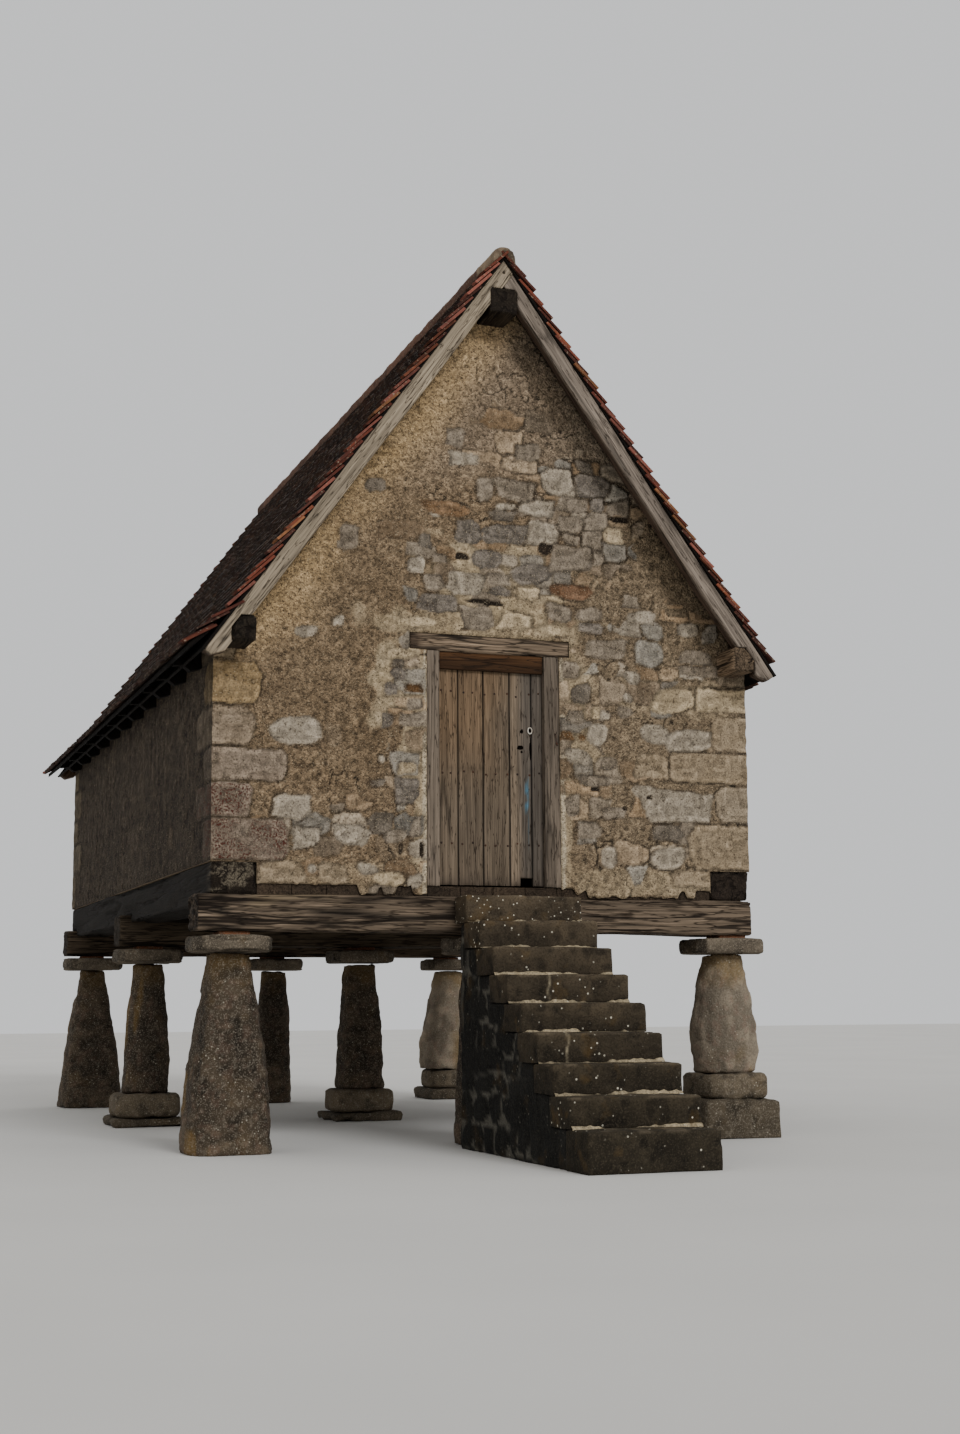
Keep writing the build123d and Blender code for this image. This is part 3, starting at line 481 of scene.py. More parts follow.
FRONT_BLOCKS = (
    (PALE, (
        (-1.60, -1.39, 2.22, 2.38), (-1.27, -1.00, 2.24, 2.40), (-0.70, -0.58, 1.92, 2.03),
        (1.25, 1.89, 2.49, 2.75), (1.48, 1.89, 3.07, 3.24), (0.43, 0.70, 5.09, 5.33),
        (0.04, 0.20, 4.94, 5.00), (-0.70, -0.55, 4.38, 4.51), (-0.38, -0.07, 4.23, 4.42),
        (1.15, 1.42, 4.11, 4.20), (0.30, 0.58, 4.69, 4.88), (1.60, 1.80, 4.02, 4.12),
        (0.22, 0.55, 4.92, 5.05), (-1.75, -1.46, 2.43, 2.61), (-0.36, -0.10, 5.28, 5.38),
    )),
    (CREAM, (
        (0.96, 1.14, 4.74, 4.88), (0.06, 0.34, 3.98, 4.11), (0.36, 0.66, 3.94, 4.04),
        (-0.77, -0.62, 2.80, 2.89), (0.21, 0.40, 4.22, 4.33), (-0.85, -0.45, 3.95, 4.03),
        (0.84, 0.91, 3.30, 3.40),
    )),
    (GREY, (
        (0.02, 0.38, 5.03, 5.20), (0.55, 0.84, 4.97, 5.10), (0.99, 1.20, 4.98, 5.10),
        (0.56, 0.80, 4.80, 4.94), (0.80, 1.00, 4.83, 5.00), (0.77, 0.95, 4.69, 4.83),
        (0.60, 0.76, 4.71, 4.79), (0.50, 0.86, 4.49, 4.70), (0.47, 0.68, 4.06, 4.21),
        (0.69, 0.95, 4.10, 4.20), (0.79, 1.14, 3.79, 3.94), (-0.13, 0.01, 5.00, 5.19),
        (-0.27, 0.00, 3.96, 4.14), (-0.05, 0.17, 4.33, 4.42), (-0.49, -0.36, 4.47, 4.55),
        (-0.56, -0.41, 4.25, 4.38), (0.70, 0.90, 2.34, 2.47), (0.91, 1.12, 2.51, 2.60),
        (0.70, 1.00, 2.76, 2.84), (1.62, 1.92, 3.79, 3.90), (1.60, 1.98, 3.69, 3.78),
        (1.12, 1.27, 4.22, 4.33), (-1.24, -1.10, 4.52, 4.72), (0.60, 0.74, 3.62, 3.75),
        (0.63, 0.77, 3.25, 3.37), (-0.68, -0.60, 2.30, 2.46), (0.60, 0.72, 2.52, 2.68),
        (-0.70, -0.58, 3.30, 3.39), (-0.77, -0.58, 3.17, 3.27), (-0.38, -0.22, 5.42, 5.58),
        (0.20, 0.42, 5.36, 5.50),
    )),
    (BLUE_GREY, (
        (0.72, 1.03, 5.11, 5.30), (0.85, 0.98, 5.00, 5.11), (-0.30, -0.09, 4.65, 4.84),
        (-0.08, 0.30, 4.67, 4.82), (-0.63, -0.29, 4.08, 4.22), (-0.80, -0.61, 2.57, 2.76),
        (-0.89, -0.78, 3.41, 3.49), (-0.90, -0.80, 3.16, 3.27), (0.73, 0.97, 3.99, 4.08),
        (-0.05, 0.18, 4.24, 4.32),
    )),
    (DARK, (
        (0.66, 0.82, 3.42, 3.57), (-0.02, 0.20, 4.85, 4.93), (0.74, 0.88, 5.31, 5.42),
        (-1.00, -0.88, 2.70, 2.74), (1.35, 1.62, 2.34, 2.46), (-0.82, -0.72, 3.63, 3.68),
        (-0.62, -0.50, 4.59, 4.70),
    )),
    (BEIGE, (
        (-1.87, -1.48, 1.93, 2.11), (-1.40, -1.17, 1.93, 2.11), (1.53, 1.90, 1.98, 2.10),
        (1.20, 1.50, 2.84, 3.04), (1.90, 2.16, 3.61, 3.69),
    )),
    (WOOD_END, ((-0.73, -0.57, 3.43, 3.49), (0.57, 0.68, 3.115, 3.19), (0.73, 0.79, 3.13, 3.175))),
)

# Holes and open joints, painted dark as the shade inside them: left, right, bottom, top
FRONT_HOLES = (
    (-0.23, 0.09, 4.165, 4.20), (-0.30, -0.20, 4.52, 4.57), (0.40, 0.50, 4.60, 4.71),
    (1.31, 1.35, 2.67, 2.70), (1.10, 1.13, 2.58, 2.60), (-0.60, -0.575, 2.17, 2.28),
    (1.00, 1.20, 4.93, 4.965), (0.82, 0.89, 2.72, 2.745),
)

# Where rubble shows through the render: middle, reach sideways and up, share of its stones
FRONT_BARE = (
    ((0.80, 4.95), (0.55, 0.50), 0.95),
    ((0.00, 4.40), (0.80, 0.40), 0.60),
    ((-1.20, 2.20), (0.75, 0.36), 0.75),
    ((-0.72, 3.20), (0.16, 0.60), 0.80),
    ((0.75, 2.90), (0.22, 0.85), 0.65),
    ((1.25, 2.50), (0.50, 0.45), 0.45),
    ((1.20, 3.35), (0.40, 0.35), 0.35),
    ((1.55, 3.95), (0.50, 0.30), 0.65),
    ((-0.75, 4.75), (0.50, 0.45), 0.30),
    ((0.15, 5.50), (0.40, 0.30), 0.35),
)

# Where the joints are washed out: middle, reach sideways and up
OPEN_JOINTS = ((0.80, 4.98), (0.60, 0.48))

# Where pale lime mortar lies: middle, reach sideways and up, strength
FRONT_LIME = (
    ((-0.77, 3.50), (0.22, 0.34), 0.90),
    ((-0.66, 2.90), (0.10, 0.40), 0.80),
    ((-0.61, 2.40), (0.05, 0.55), 0.80),
    ((0.69, 3.52), (0.13, 0.28), 0.85),
    ((0.72, 3.08), (0.24, 0.17), 0.60),
    ((0.60, 2.40), (0.05, 0.60), 0.70),
    ((0.05, 4.33), (0.56, 0.33), 0.85),
    ((-0.10, 4.00), (0.85, 0.12), 0.70),
    ((1.65, 3.50), (0.60, 0.14), 0.40),
    ((1.30, 2.00), (0.70, 0.12), 0.50),
    ((-1.20, 2.00), (0.60, 0.12), 0.40),
)

# Corner stones: bottom, top, how far each reaches along the front and along the side, and colour
LEFT_QUOINS = (
    (2.12, 2.425, 0.58, 0.26, PINK), (2.44, 2.69, 0.29, 0.52, PINK),
    (2.71, 2.95, 0.55, 0.27, (124, 110, 95)), (2.97, 3.26, 0.30, 0.55, (128, 113, 95)),
    (3.28, 3.60, 0.35, 0.28, OCHRE), (3.62, 3.84, 0.16, 0.45, BEIGE),
)
RIGHT_QUOINS = (
    (2.12, 2.475, 0.54, 0.25, BEIGE), (2.50, 2.79, 0.28, 0.56, (139, 125, 106)),
    (2.82, 3.06, 0.68, 0.28, BEIGE), (3.08, 3.37, 0.29, 0.50, BEIGE),
    (3.40, 3.60, 0.44, 0.27, CREAM), (3.62, 3.84, 0.24, 0.40, (122, 109, 92)),
)

# Each wall face: direction along it, outward direction, distance from the origin, half its length,
# the corner stones at its two ends, and a seed
FACES = {
    "front": ((1, 0, 0), (0, -1, 0), -FRONT_Y, HALF_WIDTH, (LEFT_QUOINS, RIGHT_QUOINS), 11),
    "back": ((-1, 0, 0), (0, 1, 0), BACK_Y, HALF_WIDTH, (RIGHT_QUOINS, LEFT_QUOINS), 23),
    "left": ((0, -1, 0), (-1, 0, 0), HALF_WIDTH, -FRONT_Y, (RIGHT_QUOINS, LEFT_QUOINS), 37),
    "right": ((0, 1, 0), (1, 0, 0), HALF_WIDTH, -FRONT_Y, (RIGHT_QUOINS, LEFT_QUOINS), 51),
}


class Wall:
    """The relief, colour and pebbliness of one wall face at points along it (s) and up it (z)."""

    def __init__(self, s, z, seed, base):
        self.s, self.z, self.seed = s, z, seed
        self.flat = places(s, z, seed * 1.9)
        lumps, grit = self.noise(0.075, 1), self.noise(0.030, 2)
        pits = rise(self.noise(0.045, 3) + 0.5 * self.noise(0.3, 12), 0.45, 0.62)
        pits = pits * (1 - 0.7 * rise(z, 5.3, 5.6))
        self.relief = 0.012 + 0.004 * self.noise(0.26, 4) + 0.004 * lumps + 0.0025 * grit - 0.004 * pits
        light = 7 * self.noise(0.8, 5) + 6 * lumps + 12 * grit + 6 * self.noise(0.17, 6) - 9 * pits
        self.tone = base + np.outer(light, (1, 0.92, 0.80))
        self.grit = np.ones_like(s)
        self.crack()

    def noise(self, size, seed):
        return noise(self.flat, size, self.seed + 100 * seed)

    def crack(self):
        """Winding cracks in the render, where it has come loose."""
        line = 1 - rise(np.abs(self.noise(0.24, 7) + 0.35 * self.noise(0.05, 8)), 0.015, 0.07)
        line = line * rise(self.noise(0.55, 9), 0.05, 0.3)
        self.relief = self.relief - 0.008 * line
        self.tone = self.tone * (1 - 0.45 * line)[:, None]

    def tint(self, mask, colour, grain=9):
        light = grain * self.noise(0.045, 10) + grain * self.noise(0.13, 11)
        self.tone = toward(self.tone, mask, np.array(colour) + light[:, None])

    def show_rubble(self, bare, joint):
        """Stones of its own, with corners and joints, for the given share of the wall."""
        edge, across, up, number = rough_stones(self.s, self.z, self.seed, 0.165, 0.25)
        shown = rise(bare - lattice(number, self.seed + 13), -0.02, 0.02)
        lean, tilt, pick, warm = (lattice(number, seed) for seed in (14, 15, 16, 17))
        face = 0.013 + 0.004 * across * (lean - 0.5) + 0.006 * up * (tilt - 0.5)
        colour = toward(np.array(DARK), pick, PALE) + np.outer(warm - 0.25, (18, 2, -14))
        self.lay(edge, shown, face, colour, joint)

    def lay(self, edge, shown, face, colour, joint):
        """Lays stones over the render; edge is how far inside a stone each point is, in metres."""
        edge = edge - 0.004 + 0.009 * self.noise(0.065, 20) + 0.006 * self.noise(0.028, 21)
        inside = shown * rise(edge, -0.002, 0.006)
        rim = shown * rise(edge, -0.017, -0.005) * (1 - inside)
        rim = rim * (0.30 + 0.70 * rise(self.noise(0.15, 28), -0.05, 0.35))
        facet = rise(self.noise(0.13, 22), -0.06, 0.06) + rise(self.noise(0.07, 23), 0.02, 0.10) - 1
        split = 1 - rise(np.abs(self.noise(0.16, 26)), 0.010, 0.045)
        chips = 0.0030 * facet + 0.0025 * self.noise(0.04, 24) - 0.0012 * split
        self.relief = self.relief + inside * (face + chips + 0.005 * rise(edge, 0, 0.025) - self.relief)
        self.relief = self.relief - rim * joint * 0.009
        mottle = 6 * facet + 9 * self.noise(0.04, 25) + 6 * self.noise(0.11, 27) - 4 * split
        self.tone = toward(self.tone, inside, colour + np.outer(mottle, (1, 0.97, 0.93)))
        self.tone = toward(self.tone, 0.80 * rim * joint, JOINT)
        self.grit = self.grit * (1 - 0.9 * inside)

    def one_stone(self, edges, colour, lump, seed, joint):
        """One stone with cut corners, or a rounded lump."""
        left, right, bottom, top = edges
        near = (self.s > left - 0.08) & (self.s < right + 0.08)
        near &= (self.z > bottom - 0.08) & (self.z < top + 0.08)
        part = self.part(near)
        rng = np.random.default_rng(seed)
        half_s, half_z = (right - left) / 2 + 0.006, (top - bottom) / 2 + 0.006
        across = (part.s + 0.012 * part.noise(0.12, 30) - (left + right) / 2) / half_s
        up = (part.z + 0.012 * part.noise(0.12, 31) - (bottom + top) / 2) / half_z
        lean, narrow, slope, thin = rng.uniform(-0.16, 0.16, 4)
        across, up = (across + lean * up) * (1 + narrow * up), (up + slope * across) * (1 + thin * across)
        power = 2.4 if lump else 16.0
        reach = (np.abs(across) ** power + np.abs(up) ** power) ** (1 / power)
        for a, b in ((-1, -1), (1, -1), (1, 1), (-1, 1)):
            reach = np.maximum(reach, (a * across + b * up) / rng.uniform(1.40, 2.20))
        tilt = rng.uniform(-0.004, 0.004, 2)
        face = 0.012 + tilt[0] * across + tilt[1] * up
        part.lay((1 - reach) * min(half_s, half_z), 1.0, face, np.array(colour), joint[near])
        self.take(near, part)

    def corner_stones(self, half, quoins, side, reach_index, shade):
        """The dressed stones at one end of the face."""
        for quoin in quoins:
            bottom, top, colour = quoin[0], quoin[1], quoin[4]
            inner = half - quoin[reach_index]
            near = (side * self.s > inner - 0.06) & (self.z > bottom - 0.06) & (self.z < top + 0.06)
            part = self.part(near)
            inward = side * part.s - inner
            ragged = 0.016 * part.noise(0.12, 41) + 0.008 * part.noise(0.05, 42)
            chipped = inward + np.abs(part.z - (bottom + top) / 2) * -0.7 + 0.055
            edge = np.minimum.reduce([inward + ragged, part.z - bottom, top - part.z, chipped + ragged])
            part.lay(edge + 0.004, 1.0, 0.013, np.array(colour) * shade, 0.7)
            if colour is PINK:
                part.grit = part.grit - rise(edge, 0.0, 0.010)
            self.take(near, part)

    def paint_hollow_shade(self, rows):
        """Painted shade in the hollows and painted highlight on the raised parts; the points stand in a grid
        with this many rows.
        """
        grid = self.relief.reshape(rows, -1)
        padded = np.pad(grid, 3, mode="edge")
        steps = range(-3, 4)
        around = sum(np.roll(padded, (a, b), (0, 1)) for a in steps for b in steps)[3:-3, 3:-3] / 49
        depth = np.clip((grid - around).ravel() / 0.018, -0.28, 0.20)
        self.tone = self.tone * (1 + depth)[:, None]

    def part(self, near):
        """The same wall at some of its points only."""
        part = copy(self)
        for name in ("s", "z", "flat", "relief", "tone", "grit"):
            setattr(part, name, getattr(self, name)[near])
        return part

    def take(self, near, part):
        self.relief[near], self.tone[near], self.grit[near] = part.relief, part.tone, part.grit

    def zone(self, middle, reach, power=2.0, ragged=0.25, size=0.11):
        """1 inside a rounded zone with a ragged edge, and 0 outside."""
        across, up = np.abs(self.s - middle[0]) / reach[0], np.abs(self.z - middle[1]) / reach[1]
        distance = (across ** power + up ** power) ** (1 / power)
        return 1 - rise(distance + ragged * self.noise(size, 50), 0.85, 1.15)

    def zones(self, rows, *form):
        """The strongest of several zones at each point."""
        return np.maximum.reduce([share * self.zone(middle, reach, *form) for middle, reach, share in rows])


def front_looks(s, z):
    """The front gable as the photograph shows it."""
    base = toward(np.array(RENDER), rise(s, 0.3, 1.0), RENDER_RIGHT)
    wall = Wall(s, z, FACES["front"][5], base)
    bare, lime = wall.zones(FRONT_BARE), wall.zones(FRONT_LIME, 4.0, 0.35)
    front_colours(wall, bare, lime)
    loose = rise(wall.noise(0.28, 61), 0.05, 0.35)
    deep = np.clip(0.15 + 0.75 * wall.zone(*OPEN_JOINTS) + 0.45 * loose - 0.15 * lime, 0, 1)
    wall.show_rubble(bare, deep)
    for lump, group in ((True, FRONT_LUMPS), (False, FRONT_BLOCKS)):
        for colour, stones_of_colour in group:
            for number, edges in enumerate(stones_of_colour):
                wall.one_stone(edges, colour, lump, round(1000 * edges[0]) + 5000 + number, deep)
    for left, right, bottom, top in FRONT_HOLES:
        reach = ((right - left) / 2 + 0.005, (top - bottom) / 2 + 0.005)
        hole = wall.zone(((left + right) / 2, (bottom + top) / 2), reach, 2.5, 0.5, 0.04)
        # The hole is painted dark, as the shade inside it
        wall.tint(hole, HOLE_SHADE_COLOUR, 2)
        wall.relief = wall.relief + hole * (0.002 - wall.relief)
        wall.grit = wall.grit * (1 - hole)
    return wall


def front_colours(wall, bare, lime):
    """Ochre render along the left rake, lime mortar, white lime beside the jambs, and painted light on the
    upper gable.
    """
    s, z = wall.s, wall.z
    rake = (APEX_Z - z) / tan(ROOF_PITCH)
    wash = 1 - rise(rake + s + 0.15 * wall.noise(0.35, 60), 0.25, 0.75)
    # Painted light: the upper gable is lightened, most in blue, against the shade under the roof
    wall.tone = wall.tone * (1 + np.outer(rise(z, 4.9, 5.5) + 0.6 * rise(z, 5.9, 6.5), (0.10, 0.13, 0.20)))
    wall.tint(0.9 * wash * rise(z, 3.4, 3.9) * (1 - bare), OCHRE_WASH)
    wall.tint(lime, LIME, 12)
    to_jamb = np.minimum(np.abs(s - OPENING[0] + 0.022), np.abs(s - OPENING[1] - 0.018))
    beside = 1 - rise(to_jamb + 0.012 * wall.noise(0.07, 62), 0.010, 0.024)
    wall.tint(0.85 * beside * (z < OPENING[2]), JAMB_LIME)
    wall.grit = wall.grit * (1 - 0.6 * lime)


def plain_looks(s, z, seed, gable):
    """A wall that the photograph doesn't show well: render on a gable, and on a side plaster darkened as
    painted shade.
    """
    wall = Wall(s, z, seed, np.array(RENDER if gable else SHADED_SIDE_PLASTER))
    streaks = noise(places(s, z, 0), (0.07, 0.9, 1.0), seed + 3)
    wall.tone = wall.tone * (1 + (0.03 if gable else 0.12) * streaks)[:, None]
    loose = rise(wall.noise(0.8, 30) + 0.3 * wall.noise(0.15, 31), 0.25, 0.5)
    wall.show_rubble(0.75 * loose * gable, 0.5 + 0 * s)
    return wall


def ragged_foot(s, z, bottom_z, seed):
    """The foot of the render hangs unevenly between the side beams."""
    edge = places(s, 0, seed)
    hang = rise(noise(edge, 0.34, seed + 1) + 0.5 * noise(edge, 0.07, seed + 2), -0.1, 0.15)
    low = bottom_z + 0.010 + 0.065 * hang + 0.012 * noise(edge, 0.03, seed + 3)
    return np.where(np.abs(s) < BEAM_INNER_X, np.maximum(z, low), z)


def wall_faces(s, z, width, face, gable):
    """The quads of a grid of points, without empty ones and those over the opening and the beams."""
    first = np.arange(len(s) - width).reshape(-1, width)[:, :-1].ravel()
    faces = np.stack([first, first + 1, first + width + 1, first + width], 1)
    middle_s, middle_z = s[faces].mean(1), z[faces].mean(1)
    a, b, c, d = faces.T
    keep = np.maximum(s[b] - s[a], s[c] - s[d]) > 1e-5
    keep &= np.maximum(z[d] - z[a], z[c] - z[b]) > 1e-5
    if gable:
        keep &= (np.abs(middle_s) < BEAM_INNER_X) | (middle_z > BEAM_END_TOP_Z)
    if face == "front":
        keep &= ~((middle_s > OPENING[0]) & (middle_s < OPENING[1]) & (middle_z < OPENING[2]))
        behind_lintel = (middle_s > LINTEL[0]) & (middle_s < LINTEL[1]) & (middle_z < LINTEL[2])
        keep &= ~(behind_lintel & (middle_z > OPENING[2]))
    return faces[keep]


def wall_skin(face, spacing, bottom_z, stops_s=(), stops_z=()):
    """The weathered outer face of one wall, over its plain solid."""
    along, out, distance, half, quoins, seed = FACES[face]
    gable = face in ("front", "back")
    eave_z = APEX_Z - HALF_WIDTH * tan(ROOF_PITCH)
    columns = lines([-half, *stops_s, half], spacing)
    rows = lines([bottom_z, *stops_z, APEX_Z if gable else eave_z], spacing)
    s, z = (grid.ravel() for grid in np.meshgrid(columns, rows))
    if gable:
        rake = np.maximum((APEX_Z - z) / tan(ROOF_PITCH), 0)
        s = np.clip(s, -rake, rake)
        z = ragged_foot(s, z, bottom_z, seed)
    wall = front_looks(s, z) if face == "front" else plain_looks(s, z, seed, gable)
    for side, corner in zip((-1, 1), quoins):
        # On a side wall the corner stones are darkened to 0.60 of their colour as painted shade
        wall.corner_stones(half, corner, side, 2 if gable else 3, 1.0 if gable else 0.60)
    # Painted shade in the hollows, painted highlight on the raised parts
    wall.paint_hollow_shade(len(rows))
    faces = wall_faces(s, z, len(columns), face, gable)
    near_corner = rise(np.abs(s), half - CORNER_REACH, half)
    corner_relief = 0.011 + 0.004 * noise(places(z, 0, 0), 0.06, 5)
    relief = np.maximum(wall.relief + near_corner * (corner_relief - wall.relief), LEAST_RELIEF)
    border = np.bincount(faces.ravel(), minlength=len(s)) < 4
    relief = np.where(border & (np.abs(s) < half - 1e-6), EDGE_RELIEF, relief)
    points = np.outer(s + np.sign(s) * near_corner * corner_relief, along) + np.outer(distance + relief, out)
    points[:, 2] = z
    used, faces = np.unique(faces, return_inverse=True)
    name = f"{face}_masonry"
    mesh = new_mesh(name, points[used], faces.reshape(-1, 4).tolist(), wall.tone[used], True)
    grit = mesh.attributes.new(name="grit", type="FLOAT", domain="POINT")
    grit.data.foreach_set("value", wall.grit[used].astype(np.float32))
    add_piece(name, mesh, MASONRY, "wall_masonry")


def walls():
    """The four weathered wall faces, and the plaster behind them."""
    low_z, side_low_z = BEAM_TOP_Z + 0.004, BEAM_END_TOP_Z + 0.002
    stops_s, stops_z = (LINTEL[0], OPENING[0], OPENING[1], LINTEL[1]), (OPENING[2], LINTEL[2])
    wall_skin("front", FRONT_CELL, low_z, stops_s, stops_z)
    wall_skin("back", OTHER_CELL, low_z)
    wall_skin("left", OTHER_CELL, side_low_z)
    wall_skin("right", OTHER_CELL, side_low_z)
    for node in ("front_wall_left", "front_wall_right", "front_gable", "back_wall", "side_wall_left",
                 "side_wall_right"):
        finish_node(node, PLASTER)


def finish_node(node, material):
    """Gives a CAD node that stays visible its own material."""
    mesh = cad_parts[node].data
    mesh.materials.clear()
    mesh.materials.append(material)


def mesh_copy(nodes):
    """The solids of one or more CAD nodes, welded and with flat faces whole."""
    bm = bmesh.new()
    for node in nodes:
        bm.from_mesh(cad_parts[node].data)
    bmesh.ops.remove_doubles(bm, verts=bm.verts, dist=1e-5)
    bmesh.ops.dissolve_limit(bm, angle_limit=radians(0.5), verts=bm.verts, edges=bm.edges)
    return bm


def to_mesh(bm, name):
    mesh = bpy.data.meshes.new(name)
    bm.to_mesh(mesh)
    bm.free()
    return mesh


def islands(bm):
    """A number for each vertex, the same all over one solid."""
    numbers = np.full(len(bm.verts), -1)
    count = 0
    for start in bm.verts:
        if numbers[start.index] >= 0:
            continue
        numbers[start.index] = count
        waiting = [start]
        while waiting:
            for edge in waiting.pop().link_edges:
                for vert in edge.verts:
                    if numbers[vert.index] < 0:
                        numbers[vert.index] = count
                        waiting.append(vert)
        count += 1
    return numbers


def slice_mesh(bm, direction, spacing):
    """Cuts every face along planes that stand across a direction, a spacing apart."""
    reaches = [vert.co.dot(direction) for vert in bm.verts]
    for reach in lines([min(reaches), max(reaches)], spacing)[1:-1]:
        geometry = bm.verts[:] + bm.edges[:] + bm.faces[:]
        bmesh.ops.bisect_plane(bm, geom=geometry, dist=1e-6, plane_co=direction * reach, plane_no=direction)


def worn_block(name, nodes, along, colour, material, slot, cell, wear, seed, shade=None, body="building"):
    """Timbers or slabs of one or more nodes, with worn arrises and cracks along their grain.

    cell is the mesh's step along and across the grain; wear is the wear of the arrises, the depth
    of the cracks and how far the faces wander.
    """
    worn, crack, sway = wear
    along = Vector(along).normalized()
    side = along.cross(Vector(UPWARD if abs(along.z) < 0.9 else BACKWARD)).normalized()
    up = side.cross(along)
    bm = mesh_copy(nodes)
    arrises = [
        edge for edge in bm.edges
        if edge.is_manifold and edge.calc_face_angle_signed() > 0.6 and edge.calc_length() > 3 * worn
    ]
    bmesh.ops.bevel(bm, geom=arrises, offset=worn, segments=1, affect="EDGES", clamp_overlap=True)
    for direction, spacing in ((along, cell[0]), (side, cell[1]), (up, cell[1])):
        slice_mesh(bm, direction, spacing)
    bm.normal_update()
    bm.verts.index_update()
    points = np.array([vert.co for vert in bm.verts])
    normals = np.array([vert.normal for vert in bm.verts])
    solid = islands(bm)
    grain = points @ np.array([along, side, up]).T
    grain = grain + places(solid * 3.1, solid * 0.73, solid * 0.37) + seed * 5.3
    broad = noise(grain, (0.8, 0.10, 0.10), seed)
    ridges = noise(grain, (0.45, 0.03, 0.03), seed + 1)
    cracks = rise(0.10 - np.abs(noise(grain, (1.1, 0.05, 0.05), seed + 2)), 0.02, 0.07)
    cracks = cracks * rise(noise(grain, (0.6, 0.15, 0.15), seed + 3), -0.2, 0.3)
    end = np.abs(normals @ np.array(along)) > 0.7
    move = sway * broad + 0.25 * crack * ridges - crack * cracks
    move = np.where(end, 0.8 * crack * noise(points, 0.035, seed + 4) - 0.3 * crack, move)
    own = lattice(places(solid, solid, solid), seed) - 0.5
    tone = np.array(colour) * (1 + 0.10 * broad + 0.06 * ridges + 0.14 * own)[:, None]
    tone = tone * (1 - 0.30 * cracks - 0.28 * end)[:, None]
    if shade:
        tone = shade(points, tone, solid)
    for vert, place in zip(bm.verts, points + normals * move[:, None]):
        vert.co = place
    mesh = to_mesh(bm, name)
    paint_mesh(mesh, tone, grain)
    mesh.shade_smooth()
    add_piece(name, mesh, material, slot, nodes, body)


def worn_stone(name, nodes, voxel, colour, material, slot, lump, seed, shade=None, shape=None):
    """Stones of one or more nodes, rounded and roughened by hand tools and weather."""
    carrier = bpy.data.objects.new(name + "_source", to_mesh(mesh_copy(nodes), name))
    remesh = carrier.modifiers.new("remesh", "REMESH")
    remesh.mode = "VOXEL"
    remesh.voxel_size = voxel
    mesh = mesh_from(carrier)
    points, normals = np.empty((len(mesh.vertices), 3)), np.empty((len(mesh.vertices), 3))
    mesh.vertices.foreach_get("co", points.ravel())
    mesh.vertices.foreach_get("normal", normals.ravel())
    broad, middle, fine = (noise(points, size, seed + n) for n, size in enumerate((0.30, 0.11, 0.045)))
    pits = rise(noise(points, 0.06, seed + 3), 0.3, 0.6)
    move = lump * (broad + 0.7 * middle + 0.3 * fine - 0.5 * pits)
    tone = np.array(colour) * (1 + 0.10 * broad + 0.10 * middle + 0.09 * fine - 0.28 * pits)[:, None]
    if shape:
        move = move + shape(points)
    if shade:
        tone = shade(points, tone)
    points = points + normals * move[:, None]
    points[:, 2] = np.maximum(points[:, 2], 0)
    mesh.vertices.foreach_set("co", points.ravel())
    paint_mesh(mesh, tone)
    mesh.shade_smooth()
    add_piece(name, mesh, material, slot, nodes)


def pillar_tone(points, tone):
    """Ochre stains under the caps and down one side, and paler feet."""
    x, z = points[:, 0], points[:, 2]
    tone = tone * (1 + 0.16 * (1 - rise(z + 0.06 * noise(points, 0.2, 8), 0.36, 0.44)))[:, None]
    tone = toward(tone, rise(x, 1.5, 1.7), (128, 117, 101)) * (1 + 0.17 * pillar_facets(points))[:, None]
    tone = toward(tone, 0.22 * rise(noise(points, 0.035, 15), 0.15, 0.5), (140, 106, 92))
    under_cap = rise(z + 0.10 * noise(points, 0.12, 10), 1.18, 1.40)
    streak = rise(noise(points * (1, 1, 0.25), 0.11, 11), 0.35, 0.55) * rise(np.abs(x), 2.02, 2.10)
    stain = 0.5 * rise(x + 0.05 * noise(points, 0.12, 16), 2.00, 2.12) * (1 - rise(z, 0.60, 1.00))
    stain = stain * rise(noise(points, (0.16, 0.12, 0.30), 17), -0.25, 0.25)
    return toward(tone, np.maximum.reduce([0.45 * under_cap, 0.6 * streak, stain]), (122, 96, 54))


def pillar_facets(points):
    """Flat broken faces: -1 in a hollow and 1 on a face that stands out."""
    return rise(noise(points, 0.22, 9), -0.05, 0.05) + rise(noise(points, 0.10, 12), 0.0, 0.08) - 1


def pillar_shape(points):
    """Broken faces, and a top slightly narrower than its bed."""
    return 0.005 * pillar_facets(points) - 0.010 * rise(points[:, 2], 1.0, 1.4)


def cap_tone(points, tone, solid):
    return tone * (1 + 0.16 * noise(points, 0.16, 5) + 0.14 * noise(points, 0.05, 6))[:, None]


def stones():
    """Pillars, their caps and bases, and the packing under the beams."""
    for seed, row, voxel in ((20, "front", 0.020), (21, "middle", 0.028), (22, "back", 0.028)):
        # The pillars' dark colour is partly painted shade, as they stand in shadow under the building
        worn_stone(f"{row}_pillar_stones", [f"pillars_{row}"], voxel, (61, 53, 43), GRANITE, "pillar_stone",
                   0.013, seed, pillar_tone, pillar_shape)
    worn_block("cap_slabs", ["cap_stones"], ACROSS, (98, 89, 76), CAP_STONE, "cap_stone", (0.045, 0.03),
               (0.012, 0.010, 0.010), 31, cap_tone)
    worn_stone("base_slabs", ["base_stones"], 0.026, (96, 86, 71), GRANITE, "pillar_stone", 0.010, 32)
    worn_stone("footing_blocks", ["footings"], 0.034, (76, 68, 56), GRANITE, "pillar_stone", 0.012, 33)
    worn_stone("packing_slates", ["shims"], 0.013, (134, 88, 62), CAP_STONE, "cap_stone", 0.003, 34)


